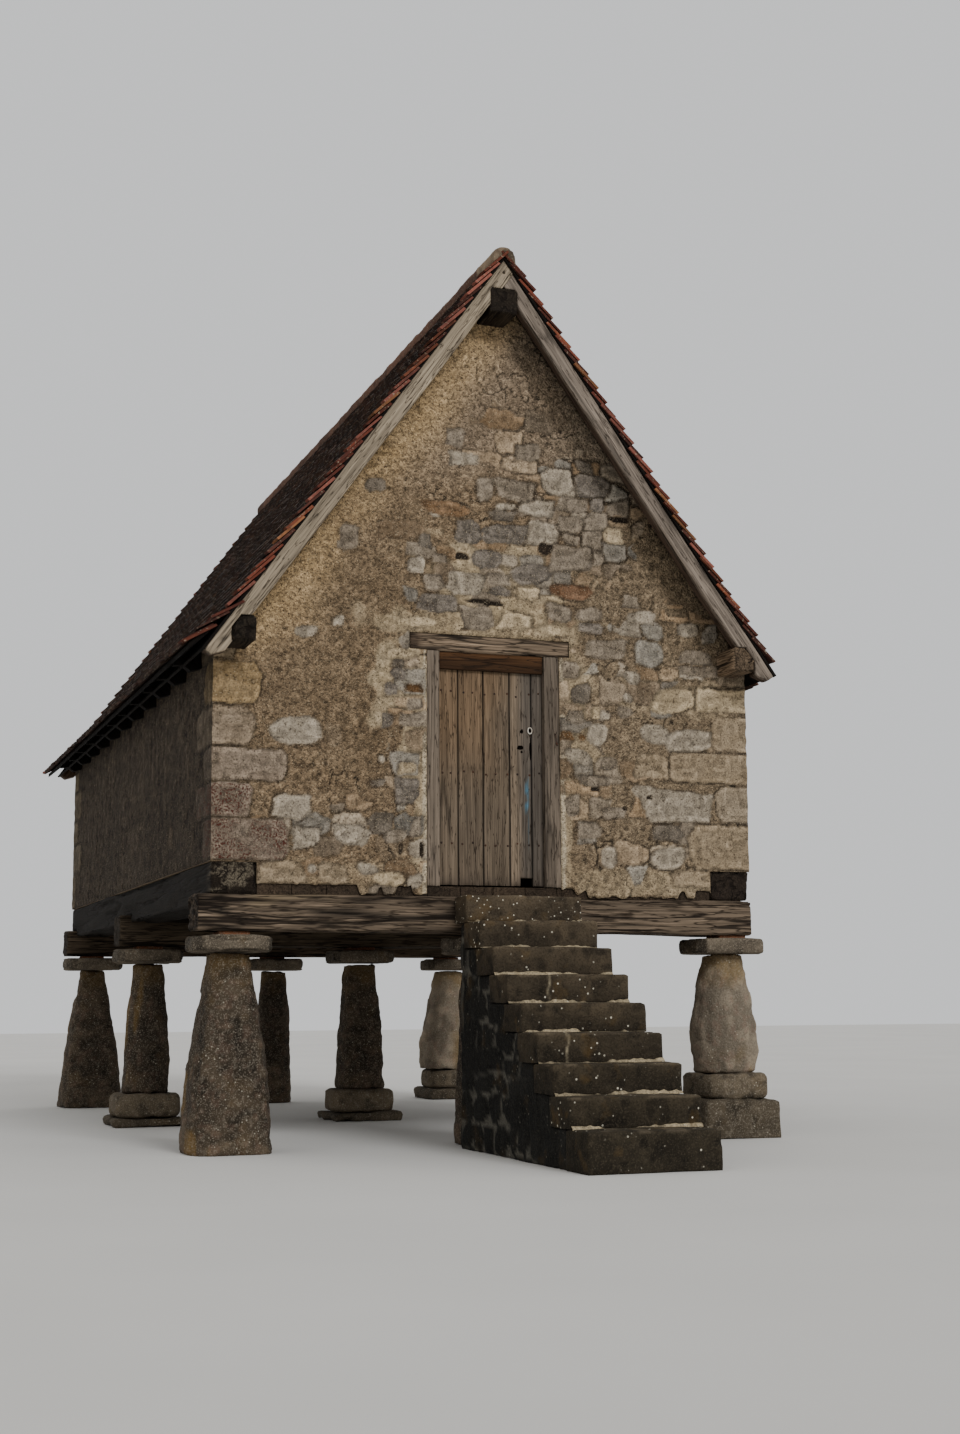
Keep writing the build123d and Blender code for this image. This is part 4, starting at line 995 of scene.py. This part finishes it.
def side_beam_tone(points, tone, solid):
    """The ends of the side beams are rotten, with pale lichen on the left one."""
    at_front = 1 - rise(points[:, 1], FRONT_Y - 0.02, FRONT_Y + 0.25)
    tone = toward(tone, 0.75 * at_front, (46, 38, 31))
    lichen = at_front * rise(noise(points, 0.07, 4) + 0.4 * noise(points, 0.02, 5), 0.15, 0.4)
    return toward(tone, 0.6 * (lichen * (points[:, 0] < 0)), (148, 138, 118))


def split_tone(points, tone, size, strength=1.0):
    """Long dark splits between paler ridges, along a timber that lies across the front."""
    wander = points + np.outer(0.02 * noise(points, 0.30, 33), UPWARD)
    splits = 1 - rise(np.abs(noise(wander, (0.60, 0.20, size), 31)), 0.03, 0.18)
    splits = splits * (0.35 + 0.65 * rise(noise(wander, (0.40, 0.20, 0.10), 34), -0.3, 0.3))
    ridges = rise(noise(wander, (0.35, 0.20, 0.8 * size), 32), 0.1, 0.5)
    return tone * (1 - strength * (0.60 * splits - 0.14 * ridges))[:, None]


def front_beam_tone(points, tone, solid):
    """Cracked and dark at the left, greyer at the right with a knot hole painted dark as shade, and mortar
    near its left end.
    """
    x, z = points[:, 0], points[:, 2]
    to_right = rise(x, -0.2, 0.6)
    tone = split_tone(points, tone, 0.026, 1 - 0.65 * to_right) * (1.00 + 0.03 * to_right)[:, None]
    knot = 1 - rise(np.hypot((x - KNOT[0]) / 0.045, (z - KNOT[1]) / 0.020), 0.6, 1.2)
    # Painted shade in the knot hole
    tone = toward(tone, 0.8 * knot, HOLE_SHADE_COLOUR)
    smear = rise(x, -2.0, -1.8) * (1 - rise(x, -1.5, -1.1)) * rise(z, BEAM_TOP_Z - 0.20, BEAM_TOP_Z - 0.05)
    return toward(tone, 0.65 * smear * rise(noise(points, (0.2, 0.06, 0.06), 8), -0.2, 0.3), (132, 116, 92))


def lintel_tone(points, tone, solid):
    """The lintel's left end is dark and split."""
    rot = 1 - rise(points[:, 0] + 0.05 * noise(points, 0.05, 6), LINTEL[0] + 0.02, LINTEL[0] + 0.10)
    return toward(split_tone(points, tone, 0.032), 0.7 * rot, (52, 42, 34))


def head_rail_painted_shade(points, tone, solid):
    """Sheltered wood, with painted shade that darkens it towards its foot."""
    return tone * (0.75 + 0.35 * rise(points[:, 2], OPENING[2] - 0.09, OPENING[2] - 0.01))[:, None]


def board_tone(points, tone, solid):
    """Five weathered boards: brown at the upper left, grey at the right, with dark joints and blue paint."""
    x, z = points[:, 0], points[:, 2]
    brown = (1 - rise(x + 0.1 * noise(points, 0.4, 3), -0.05, 0.25)) * rise(z, 2.5, 3.3)
    tone = toward(tone, 0.50 * brown, (126, 98, 70))
    tone = toward(tone, 0.75 * rise(x, 0.20, 0.30), (86, 80, 74))
    for number in range(solid.max() + 1):
        own = solid == number
        from_joint = np.minimum(x - x[own].min(), x[own].max() - x)
        tone[own] = tone[own] * (0.45 + 0.55 * rise(from_joint[own], 0.001, 0.010))[:, None]
    nail_row = 1 - rise(np.abs(z - NAIL_ROW_Z), 0.004, 0.016)
    tone = tone * (1 - 0.45 * nail_row * rise(noise(points, (0.035, 0.05, 0.3), 9), 0.0, 0.3))[:, None]
    low = 1 - rise(z + 0.05 * noise(points, 0.08, 7), 1.98, 2.08)
    tone = toward(tone, 0.5 * low, (84, 74, 64))
    smear, drip = (
        (1 - rise(np.abs(x - middle), *width)) * rise(z, *foot) * (1 - rise(z, *top))
        for middle, width, foot, top in PAINT_MARKS
    )
    spotty = rise(noise(points, (0.02, 0.02, 0.05), 8), -0.5, 0.3)
    return toward(tone, 0.8 * spotty * np.maximum(smear, 0.5 * drip), (84, 132, 158))


def plate_tone(points, tone, solid):
    """The left plate's end is dark, and the right one's is pale, with cracks."""
    cracks = 1 - rise(np.abs(noise(points, 0.05, 14)), 0.02, 0.16)
    return tone * (0.80 + 1.0 * rise(points[:, 0], -1, 1) - 0.40 * cracks)[:, None]


def verge_tone(points, tone, solid):
    """Grey where the weather reaches, and dark brown behind the face."""
    y = points[:, 1]
    return toward(tone, 0.75 * rise(np.minimum(y - y.min(), y.max() - y), 0.02, 0.06), (62, 47, 37))


# Material and slot of each kind of timber, and how the grain of the verge rafters runs
BEAM = (OAK, "beam_oak")
PLATE = (OAK, "roof_oak")
RAKE = (DRY_OAK, "roof_oak")
FRAME = (DRY_OAK, "door_wood")
LEAF = (BOARD_WOOD, "door_wood")
LEFT_SLOPE = (-cos(ROOF_PITCH), 0, -sin(ROOF_PITCH))
RIGHT_SLOPE = (cos(ROOF_PITCH), 0, -sin(ROOF_PITCH))

# Each worn timber: name, nodes, direction of its grain, material and slot; then its colour, its mesh
# cell and its wear, as worn_block has them, and what shades it
TIMBERS = (
    ("front_beam", ["cross_beam_front"], ACROSS, BEAM,
     (108, 94, 79), (0.045, 0.0095), (0.014, 0.016, 0.008), front_beam_tone),
    ("middle_beam", ["cross_beam_middle"], ACROSS, BEAM,
     (80, 69, 56), (0.08, 0.025), (0.014, 0.012, 0.007), None),
    ("back_beam", ["cross_beam_back"], ACROSS, BEAM,
     (92, 79, 65), (0.06, 0.018), (0.014, 0.012, 0.007), None),
    # The left beam's near-black colour is partly painted shade, as the left side lies in shadow
    ("left_beam", ["side_beam_left"], BACKWARD, BEAM,
     (25, 21, 16), (0.06, 0.018), (0.016, 0.018, 0.012), side_beam_tone),
    ("right_beam", ["side_beam_right"], BACKWARD, BEAM,
     (80, 69, 57), (0.06, 0.018), (0.016, 0.016, 0.012), side_beam_tone),
    ("eave_plates", ["wall_plate_left", "wall_plate_right"], BACKWARD, PLATE,
     (80, 68, 55), (0.10, 0.016), (0.020, 0.018, 0.007), plate_tone),
    ("ridge_timber", ["ridge_beam"], BACKWARD, PLATE,
     (62, 53, 43), (0.10, 0.018), (0.020, 0.010, 0.005), None),
    ("lintel", ["lintel_outer"], ACROSS, BEAM,
     (118, 102, 85), (0.030, 0.008), (0.010, 0.015, 0.007), lintel_tone),
    ("left_verge", ["verge_rafters_left"], LEFT_SLOPE, RAKE,
     (156, 142, 122), (0.05, 0.013), (0.012, 0.006, 0.007), verge_tone),
    ("right_verge", ["verge_rafters_right"], RIGHT_SLOPE, RAKE,
     (134, 122, 110), (0.05, 0.013), (0.012, 0.006, 0.007), verge_tone),
    ("jambs", ["door_jambs"], UPWARD, FRAME,
     (117, 105, 92), (0.035, 0.011), (0.006, 0.005, 0.003), None),
    ("head_rail", ["door_head_rail"], ACROSS, FRAME,
     (84, 58, 37), (0.03, 0.010), (0.005, 0.003, 0.002), head_rail_painted_shade),
    ("boards", ["door_boards"], UPWARD, LEAF,
     (116, 102, 86), (0.04, 0.0085), (0.003, 0.002, 0.0015), board_tone),
)
FIRST_TIMBER_SEED = 41

# Timbers that keep their own shape: how the grain is turned, a light and a dark colour, and the nodes; the
# roof woods' near-black colours are painted shade
INNER_WOODS = {
    "left_roof_wood": ((0, -ROOF_PITCH, 0), (22, 18, 15), (14, 12, 10), ("rafters_left", "eave_sprockets")),
    "right_roof_wood": ((0, ROOF_PITCH, 0), (46, 38, 32), (30, 25, 21), ("rafters_right",)),
    "roof_board_wood": ((0, 0, pi / 2), (22, 18, 15), (15, 12, 10),
                        ("roof_boards_left", "roof_boards_right", "eave_board")),
    "long_wood": ((0, 0, pi / 2), (74, 62, 50), (50, 42, 34), ("floor_planks", "rafter_pegs")),
    "cross_wood": ((0, 0, 0), (74, 62, 50), (50, 42, 34), ("lintel_inner", "door_ledges")),
}


def timbers():
    """The oak frame, the verge rafters and the door."""
    for seed, (name, nodes, along, wood, colour, cell, wear, shade) in enumerate(TIMBERS, FIRST_TIMBER_SEED):
        body = "door_leaf" if name == "boards" else "building"
        worn_block(name, nodes, along, colour, *wood, cell, wear, seed, shade, body)
    for name, (turn, light, dark, nodes) in INNER_WOODS.items():
        wood = inner_wood_finish(name, turn, light, dark)
        for node in nodes:
            finish_node(node, wood)
    for node in ("hinge_straps", "hinge_pintles"):
        finish_node(node, IRON)


# What the photograph shows on the door, as x and z, the holes with half their width and height
DOOR_RING = (0.333, 3.188)
DOOR_HOLES = (
    (0.265, 3.180, 0.013, 0.020), (0.250, 3.052, 0.028, 0.015), (0.264, 3.018, 0.010, 0.009),
    (0.338, 3.045, 0.010, 0.095), (*DOOR_RING, 0.014, 0.021),
)
DOOR_HOOK = (0.525, 3.115)
BOARDS = 5
LEDGE_HEIGHTS = (2.28, 2.84, 3.47)
NAIL_ROW_Z = 2.86
NAIL_HEAD = 0.009
NAIL_SIDES = 8
HOLE_SIDES = 12

# Old blue paint on the boards: middle, half width and its soft edge, foot and top
PAINT_MARKS = (
    (0.305, (0.008, 0.024), (2.50, 2.60), (2.72, 2.82)),
    (0.318, (0.002, 0.008), (2.20, 2.40), (2.80, 2.90)),
)


def circle(count):
    return [(cos(2 * pi * step / count), sin(2 * pi * step / count)) for step in range(count)]


def door_nails(front, rng):
    """Nails through the boards into each ledge, as low domes."""
    low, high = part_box("door_boards")
    points, faces = [], []
    for board in range(BOARDS):
        for height in LEDGE_HEIGHTS:
            for share in (0.28, 0.72):
                x = low.x + (high.x - low.x) * (board + share) / BOARDS + rng.normal(0, 0.006)
                z = height + rng.normal(0, 0.008)
                start = len(points)
                for size, proud in ((NAIL_HEAD, 0.0005), (0.7 * NAIL_HEAD, 0.00275)):
                    rim = circle(NAIL_SIDES)
                    points += [(x + size * a, front - proud, z + size * b) for a, b in rim]
                points.append((x, front - 0.0035, z))
                for step in range(NAIL_SIDES):
                    after = (step + 1) % NAIL_SIDES
                    inner = (start + NAIL_SIDES + step, start + NAIL_SIDES + after)
                    faces.append((start + step, start + after, inner[1], inner[0]))
                    faces.append((*inner, start + 2 * NAIL_SIDES))
    add_piece("door_nails", new_mesh("door_nails", points, faces), IRON, "iron", body="door_leaf")


def door_holes(front, rng):
    """Ragged holes in the boards, as dark patches of painted shade."""
    points = []
    for x, z, half_x, half_z in DOOR_HOLES:
        for across, up in circle(HOLE_SIDES):
            wobble = 1 + 0.18 * rng.normal()
            points.append((x + half_x * wobble * across, front - 0.0025, z + half_z * wobble * up))
    faces = np.arange(len(points)).reshape(-1, HOLE_SIDES).tolist()
    add_piece("door_holes", new_mesh("door_holes", points, faces), HOLE_SHADE_FINISH, "iron", body="door_leaf")


def rod(name, path, radius, material, body, closed=False):
    """A bent round rod along a path of points."""
    curve = bpy.data.curves.new(name, "CURVE")
    curve.dimensions = "3D"
    curve.bevel_depth = radius
    curve.bevel_resolution = 3
    spline = curve.splines.new("NURBS")
    spline.points.add(len(path) - 1)
    for point, place in zip(spline.points, path):
        point.co = (*place, 1)
    spline.order_u = 3
    spline.use_cyclic_u = closed
    spline.use_endpoint_u = not closed
    add_piece(name, mesh_from(bpy.data.objects.new(name, curve)), material, "iron", body=body)


def door_details():
    """Nails, holes, a pull ring on a pin, and a hook on the jamb."""
    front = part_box("door_boards")[0].y
    rng = np.random.default_rng(12)
    door_nails(front, rng)
    door_holes(front, rng)
    x, z = DOOR_RING
    ring = [(x + 0.018 * across, front - 0.008, z + 0.026 * up) for across, up in circle(8)]
    rod("door_ring", ring, 0.0045, BRIGHT_IRON, "door_leaf", True)
    pin = [(x, front + out, z - down) for out, down in ((0.002, 0.02), (-0.006, 0.022), (-0.008, 0.05))]
    rod("door_pin", pin, 0.003, IRON, "door_leaf")
    x, z = DOOR_HOOK
    bends = ((0, 0.004, 0.05), (0, -0.012, 0.05), (0.004, -0.014, 0), (0.006, -0.016, -0.045),
             (0.006, -0.034, -0.052), (0.005, -0.036, -0.030))
    jamb_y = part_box("door_jambs")[0].y
    rod("jamb_hook", [(x + a, jamb_y + b, z + c) for a, b, c in bends], 0.0035, IRON, "building")


# Clay tiles: one tile's size, the gap beside it and how far its tail is lifted; the narrowest tile;
# how far back and down the short course under the eave lies; and where tiles are lost at the right eave
TILE_LENGTH = 0.27
TILE_WIDTH = 0.168
TILE_THICKNESS = 0.015
TILE_GAP = 0.003
TILE_TAIL_LIFT = 0.050
LEAST_TILE = 0.03
STARTER_BACK = 0.012
STARTER_DOWN = 0.014
LOST_COURSES = 2
LOST_REACH = 0.42
TILE_ENDS = (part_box("roof_tiles_right")[0].y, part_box("roof_tiles_right")[1].y)
RIDGE_TILE_LENGTH = 0.41
CLAY_EDGES = ((112, 60, 46), (126, 72, 52), (138, 92, 62), (100, 54, 44), (136, 82, 70), (82, 50, 42))
# Top colours of each slope; the left slope's are far darker, as painted shade
CLAY_TOPS_WITH_SHADE = {
    "left": ((50, 41, 37), (58, 48, 42), (44, 38, 36), (72, 54, 45)),
    "right": ((108, 72, 55), (120, 80, 59), (93, 64, 52), (80, 60, 50), (132, 92, 67)),
}


def tile_courses(side):
    """Each course of one slope, from the top: where its tails end, and its pitch."""
    low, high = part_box(f"roof_tiles_{side}")
    reach = max(abs(low.x), abs(high.x))
    stretches = [(RIDGE_SETBACK, reach - TAIL_LIFT * sin(ROOF_PITCH), ROOF_PITCH)]
    if side == "left":
        kick_x = HALF_WIDTH - KICK_START_INSET
        kicked_x = reach - TAIL_LIFT * sin(KICK_PITCH)
        stretches = [(RIDGE_SETBACK, kick_x, ROOF_PITCH), (kick_x, kicked_x, KICK_PITCH)]
    courses = []
    for start_x, end_x, pitch in stretches:
        start_z = APEX_Z - tan(ROOF_PITCH) * start_x + BOARD_THICKNESS / cos(ROOF_PITCH)
        count = round((end_x - start_x) / cos(pitch) / TILE_EXPOSURE)
        for number in range(1, count + 1):
            run = (end_x - start_x) * number / count
            courses.append((start_x + run, start_z - tan(pitch) * run, pitch))
    starter_x, starter_z, pitch = courses[-1]
    starter_z = starter_z + STARTER_BACK * tan(pitch) - STARTER_DOWN / cos(pitch)
    courses.append((starter_x - STARTER_BACK, starter_z, pitch))
    return courses


def tile_template():
    """One tile in shares: from head (0) to tail (1), across (-0.5 to 0.5), bottom (0) to top (1)."""
    stations, across = (0.0, 0.5, 1.0), (-0.5, 0.0, 0.5)
    points, quads, on_top = [], [], []
    for level in (0, 1):
        base = len(points)
        points += [(a, b, level) for a in stations for b in across]
        on_top += [level == 1] * 9
        for corner in (base, base + 1, base + 3, base + 4):
            quad = (corner, corner + 3, corner + 4, corner + 1)
            quads.append(quad[::-1] if level else quad)
    sides = (
        [(a, -0.5) for a in stations], [(1.0, b) for b in across],
        [(a, 0.5) for a in stations[::-1]], [(0.0, b) for b in across[::-1]],
    )
    for rim in sides:
        base = len(points)
        points += [(a, b, level) for level in (0, 1) for a, b in rim]
        on_top += [False] * 6
        quads += [(base + k, base + k + 1, base + k + 4, base + k + 3) for k in range(2)]
    return np.array(points, float), np.array(quads), np.array(on_top)


def tile_slope(side):
    """All the tiles of one slope, as one joined mesh of separate tiles."""
    rng = np.random.default_rng(90 if side == "left" else 91)
    turn = -1 if side == "left" else 1
    y0, y1 = TILE_ENDS
    per_course = round((y1 - y0) / TILE_WIDTH)
    step = (y1 - y0) / per_course
    template, quads, on_top = tile_template()
    share, across, level = template.T
    points, faces, tones = [], [], []
    courses = tile_courses(side)
    for number, (tail_x, tail_z, pitch) in enumerate(courses):
        joints = y0 + step * (np.arange(per_course) + 0.5 * (number % 2))
        joints = np.unique(np.concatenate([[y0], joints, [y1]]))
        down, out = (turn * cos(pitch), 0, -sin(pitch)), (turn * sin(pitch), 0, cos(pitch))
        for left, right in zip(joints, joints[1:]):
            lost = side == "right" and number >= len(courses) - LOST_COURSES and left < y0 + LOST_REACH
            if right - left < LEAST_TILE or lost:
                continue
            verge = left < y0 + 0.01 or right > y1 - 0.01
            head_top = 0.003 if verge else TILE_THICKNESS
            slip = rng.normal(0, 0.004) + rng.uniform(0.01, 0.04) * (rng.random() < 0.03)
            lift = head_top + share * (TILE_TAIL_LIFT + 0.006 * verge - head_top) + rng.normal(0, 0.0018)
            lift = lift + 0.004 * (1 - 4 * across ** 2) + 0.0012 * rng.normal(size=len(share))
            lift = lift - (1 - level) * TILE_THICKNESS * rng.uniform(0.95, 1.25) * (1.2 if verge else 1)
            place = np.outer((share - 1) * TILE_LENGTH + slip, down) + np.outer(lift, out)
            place = place + (turn * tail_x, 0, tail_z)
            width = right - left - TILE_GAP
            place[:, 1] = (left + right) / 2 + across * width + share * rng.normal(0, 0.003)
            if verge:
                place[:, 1] += rng.normal(0, 0.008)
            faces.append(quads + len(points) * len(template))
            points.append(place)
            tones.append(tile_tone(rng, side, on_top, verge))
    points, faces, tones = (np.concatenate(rows) for rows in (points, faces, tones))
    mesh = new_mesh(f"{side}_tiles", points, faces.tolist(), tones)
    add_piece(f"{side}_tiles", mesh, CLAY, "clay_tile", [f"roof_tiles_{side}"])


def tile_tone(rng, side, on_top, verge):
    """Sooty or red on top, far darker on the left slope as painted shade, and clean clay at the edges."""
    top = np.array(CLAY_TOPS_WITH_SHADE[side][rng.integers(len(CLAY_TOPS_WITH_SHADE[side]))]) * rng.uniform(0.85, 1.15)
    edge = np.array(CLAY_EDGES[rng.integers(len(CLAY_EDGES))]) * rng.uniform(0.7, 1.1)
    if not verge:
        edge = 0.2 * edge + 0.7 * top
    return np.where(on_top[:, None], top, edge)


def ridge_tone(points, tone):
    """A beige first cap, bedded in mortar, and sooty clay behind it."""
    from_end = points[:, 1] - TILE_ENDS[0]
    behind = rise(from_end, 0.36, 0.42)
    number = np.floor(from_end / RIDGE_TILE_LENGTH)
    own = lattice(places(number, number, number), 6)
    tone = toward(tone, behind, np.array((92, 66, 54)) * (0.85 + 0.35 * own)[:, None])
    crest = rise(noise(points, 0.10, 7), 0.05, 0.45) * rise(points[:, 2], APEX_Z + 0.02, APEX_Z + 0.09)
    return toward(tone, 0.7 * behind * crest, (182, 120, 78))


def roof():
    """Tiles on both slopes, and the ridge caps."""
    tile_slope("left")
    tile_slope("right")
    worn_stone("ridge_caps", ["ridge_tiles"], 0.019, (134, 116, 96), CLAY, "ridge_tile", 0.005, 61,
               ridge_tone)


# Upright joints in two of the steps, as the photograph shows them, by the step's number
STEP_JOINTS = {6: 0.0, 4: -0.093}
STEPS = 9
CORE_SEED = 77


def stair():
    """Stone steps with their pointing, on a core of rubble; both are darkened as painted shade."""
    for number in range(1, STEPS + 1):
        # Dark stone, darkened further as painted shade; the lower steps are darker
        colour = (45 + 3.1 * number, 40 + 2.6 * number, 31 + 2.2 * number)
        stone = TOP_STEP_STONE if number == STEPS else STEP_STONE
        worn_stone(f"stone_step_{number}", [f"step_{number}"], 0.0155, colour, stone, "step_stone", 0.006,
                   100 + 3 * number, step_tone_with(STEP_JOINTS.get(number)))
    pointing()
    # The rubble's near-black colour is painted shade
    worn_stone("stair_rubble", ["stair_core"], 0.027, (25, 24, 22), FLANK_STONE, "step_stone", 0.007, 130,
               core_tone, core_shape)


def step_tone_with(joint):
    """Darker towards the foot of each riser, and a mortared joint where there is one."""
    def step_tone(points, tone):
        x, z = points[:, 0], points[:, 2]
        low, high = z.min(), z.max()
        tone = tone * (0.86 + 0.22 * rise(z + 0.03 * noise(points, 0.1, 2), low, high))[:, None]
        tone = tone * (1 + 0.16 * noise(points, 0.17, 6) + 0.10 * noise(points, 0.06, 7))[:, None]
        worn = rise(z, high - 0.02, high - 0.004) * rise(noise(points, 0.09, 5), -0.1, 0.5)
        tone = toward(tone, 0.5 * worn, (118, 106, 88))
        if joint is None:
            return tone
        at_joint = 1 - rise(np.abs(x - joint + 0.006 * noise(points, 0.05, 3)), 0.003, 0.011)
        return toward(tone, 0.9 * at_joint, (168, 156, 130))

    return step_tone


def core_stones(points):
    return rough_stones(points[:, 1], points[:, 2], CORE_SEED, 0.19, 0.33)


def core_tone(points, tone):
    """Rubble, darkened as painted shade, with thin pale pointing and white streaks down it."""
    edge, _, _, number = core_stones(points)
    mortar = 1 - rise(edge + 0.012 * noise(points, 0.05, 9), 0.002, 0.014)
    mortar = mortar * rise(noise(points, 0.35, 10), -0.3, 0.3)
    streaks = rise(noise(points, (0.06, 0.06, 0.7), 11), 0.35, 0.65) * rise(noise(points, 0.5, 12), 0.0, 0.4)
    tone = tone * (0.8 + 0.4 * lattice(number, 12))[:, None]
    return toward(tone, np.maximum(0.55 * mortar, 0.5 * streaks), (148, 143, 130))


def core_shape(points):
    """Joints that lie back between the stones."""
    return 0.009 * rise(core_stones(points)[0], 0.002, 0.03) - 0.007


def pointing():
    """Ragged lime mortar where each riser stands on the tread below."""
    points, faces, tones = [], [], []
    section = ((0.006, 1.1), (-0.35, 0.9), (-0.9, 0.35), (-1.1, -0.1))
    start = 0
    for number in range(2, STEPS + 1):
        low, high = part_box(f"step_{number}")
        xs = lines([low.x + 0.004, high.x - 0.004], 0.012)
        line = places(xs, low.y, number)
        body = rise(noise(line, 0.20, 140) + 0.6 * noise(line, 0.045, 141), -0.55, 0.35)
        thick = 0.003 + 0.021 * body * (0.8 + 0.4 * noise(line, 0.03, 142))
        points += [places(xs, low.y + out * thick, low.z + up * thick) for out, up in section]
        count = len(xs)
        for row in range(len(section) - 1):
            first = start + row * count + np.arange(count - 1)
            faces.append(np.stack([first + count, first + count + 1, first + 1, first], 1))
        shade = np.array((170, 155, 127)) * (0.6 + 0.4 * body)[:, None]
        tones += [shade * (1 + 0.12 * noise(line, 0.02, 143))[:, None]] * len(section)
        start += count * len(section)
    points, faces, tones = (np.concatenate(rows) for rows in (points, faces, tones))
    mesh = new_mesh("step_pointing", points, faces.tolist(), tones, True)
    add_piece("step_pointing", mesh, STEP_STONE, "step_stone")


def camera():
    """A camera where the photograph was taken from."""
    turn = Matrix.Rotation(-CAMERA_YAW, 4, "Z") @ Matrix.Rotation(pi / 2 + CAMERA_PITCH, 4, "X")
    data = bpy.data.cameras.new("camera")
    data.sensor_width = SENSOR
    data.lens = SENSOR * FOCAL_PIXELS / IMAGE_HEIGHT
    data.clip_end = 200
    eye = bpy.data.objects.new("camera", data)
    eye.matrix_world = Matrix.Translation(CAMERA_PLACE) @ turn @ Matrix.Rotation(CAMERA_ROLL, 4, "Z")
    bpy.context.scene.collection.objects.link(eye)
    bpy.context.scene.camera = eye


def studio_world():
    """Plain soft light, and a pale background."""
    world = bpy.data.worlds.new("studio")
    world.use_nodes = True
    tree = world.node_tree
    light = tree.nodes["Background"]
    light.inputs["Color"].default_value = (0.84, 0.83, 0.81, 1)
    light.inputs["Strength"].default_value = 0.80
    backdrop = add_node(tree, "Background", {"Color": (0.80, 0.81, 0.82, 1)}).outputs[0]
    rays = add_node(tree, "LightPath").outputs
    seen = rays["Is Camera Ray"]
    for kind in ("Is Glossy Ray", "Is Transmission Ray"):
        seen = add_node(tree, "Math", {0: seen, 1: rays[kind]}, operation="MAXIMUM").outputs[0]
    choose = add_node(tree, "MixShader", {0: seen, 1: light.outputs[0], 2: backdrop})
    tree.links.new(choose.outputs[0], tree.nodes["World Output"].inputs["Surface"])
    bpy.context.scene.world = world


def studio():
    """A pale floor, and a soft lamp."""
    studio_world()
    finish = Finish("floor", 0.9)
    place = finish.place()
    pale = finish.patches(paint((222, 221, 218)), place, (0.4, 0.3, 0.7, 1.0, (216, 215, 212)))
    mesh = bpy.data.meshes.new("floor")
    mesh.from_pydata([(-60, -60, 0), (60, -60, 0), (60, 60, 0), (-60, 60, 0)], [], [(0, 1, 2, 3)])
    mesh.materials.append(finish.finish(pale, finish.noise(place, 20.0), 0.0005))
    floor = bpy.data.objects.new("floor", mesh)
    bpy.context.scene.collection.objects.link(floor)
    sun = bpy.data.lights.new("key", "SUN")
    sun.energy = 1.5
    sun.angle = radians(20)
    key = bpy.data.objects.new("key", sun)
    key.rotation_euler = (radians(62), 0, radians(8))
    bpy.context.scene.collection.objects.link(key)


camera()
studio()
walls()
timbers()
door_details()
stones()
roof()
stair()
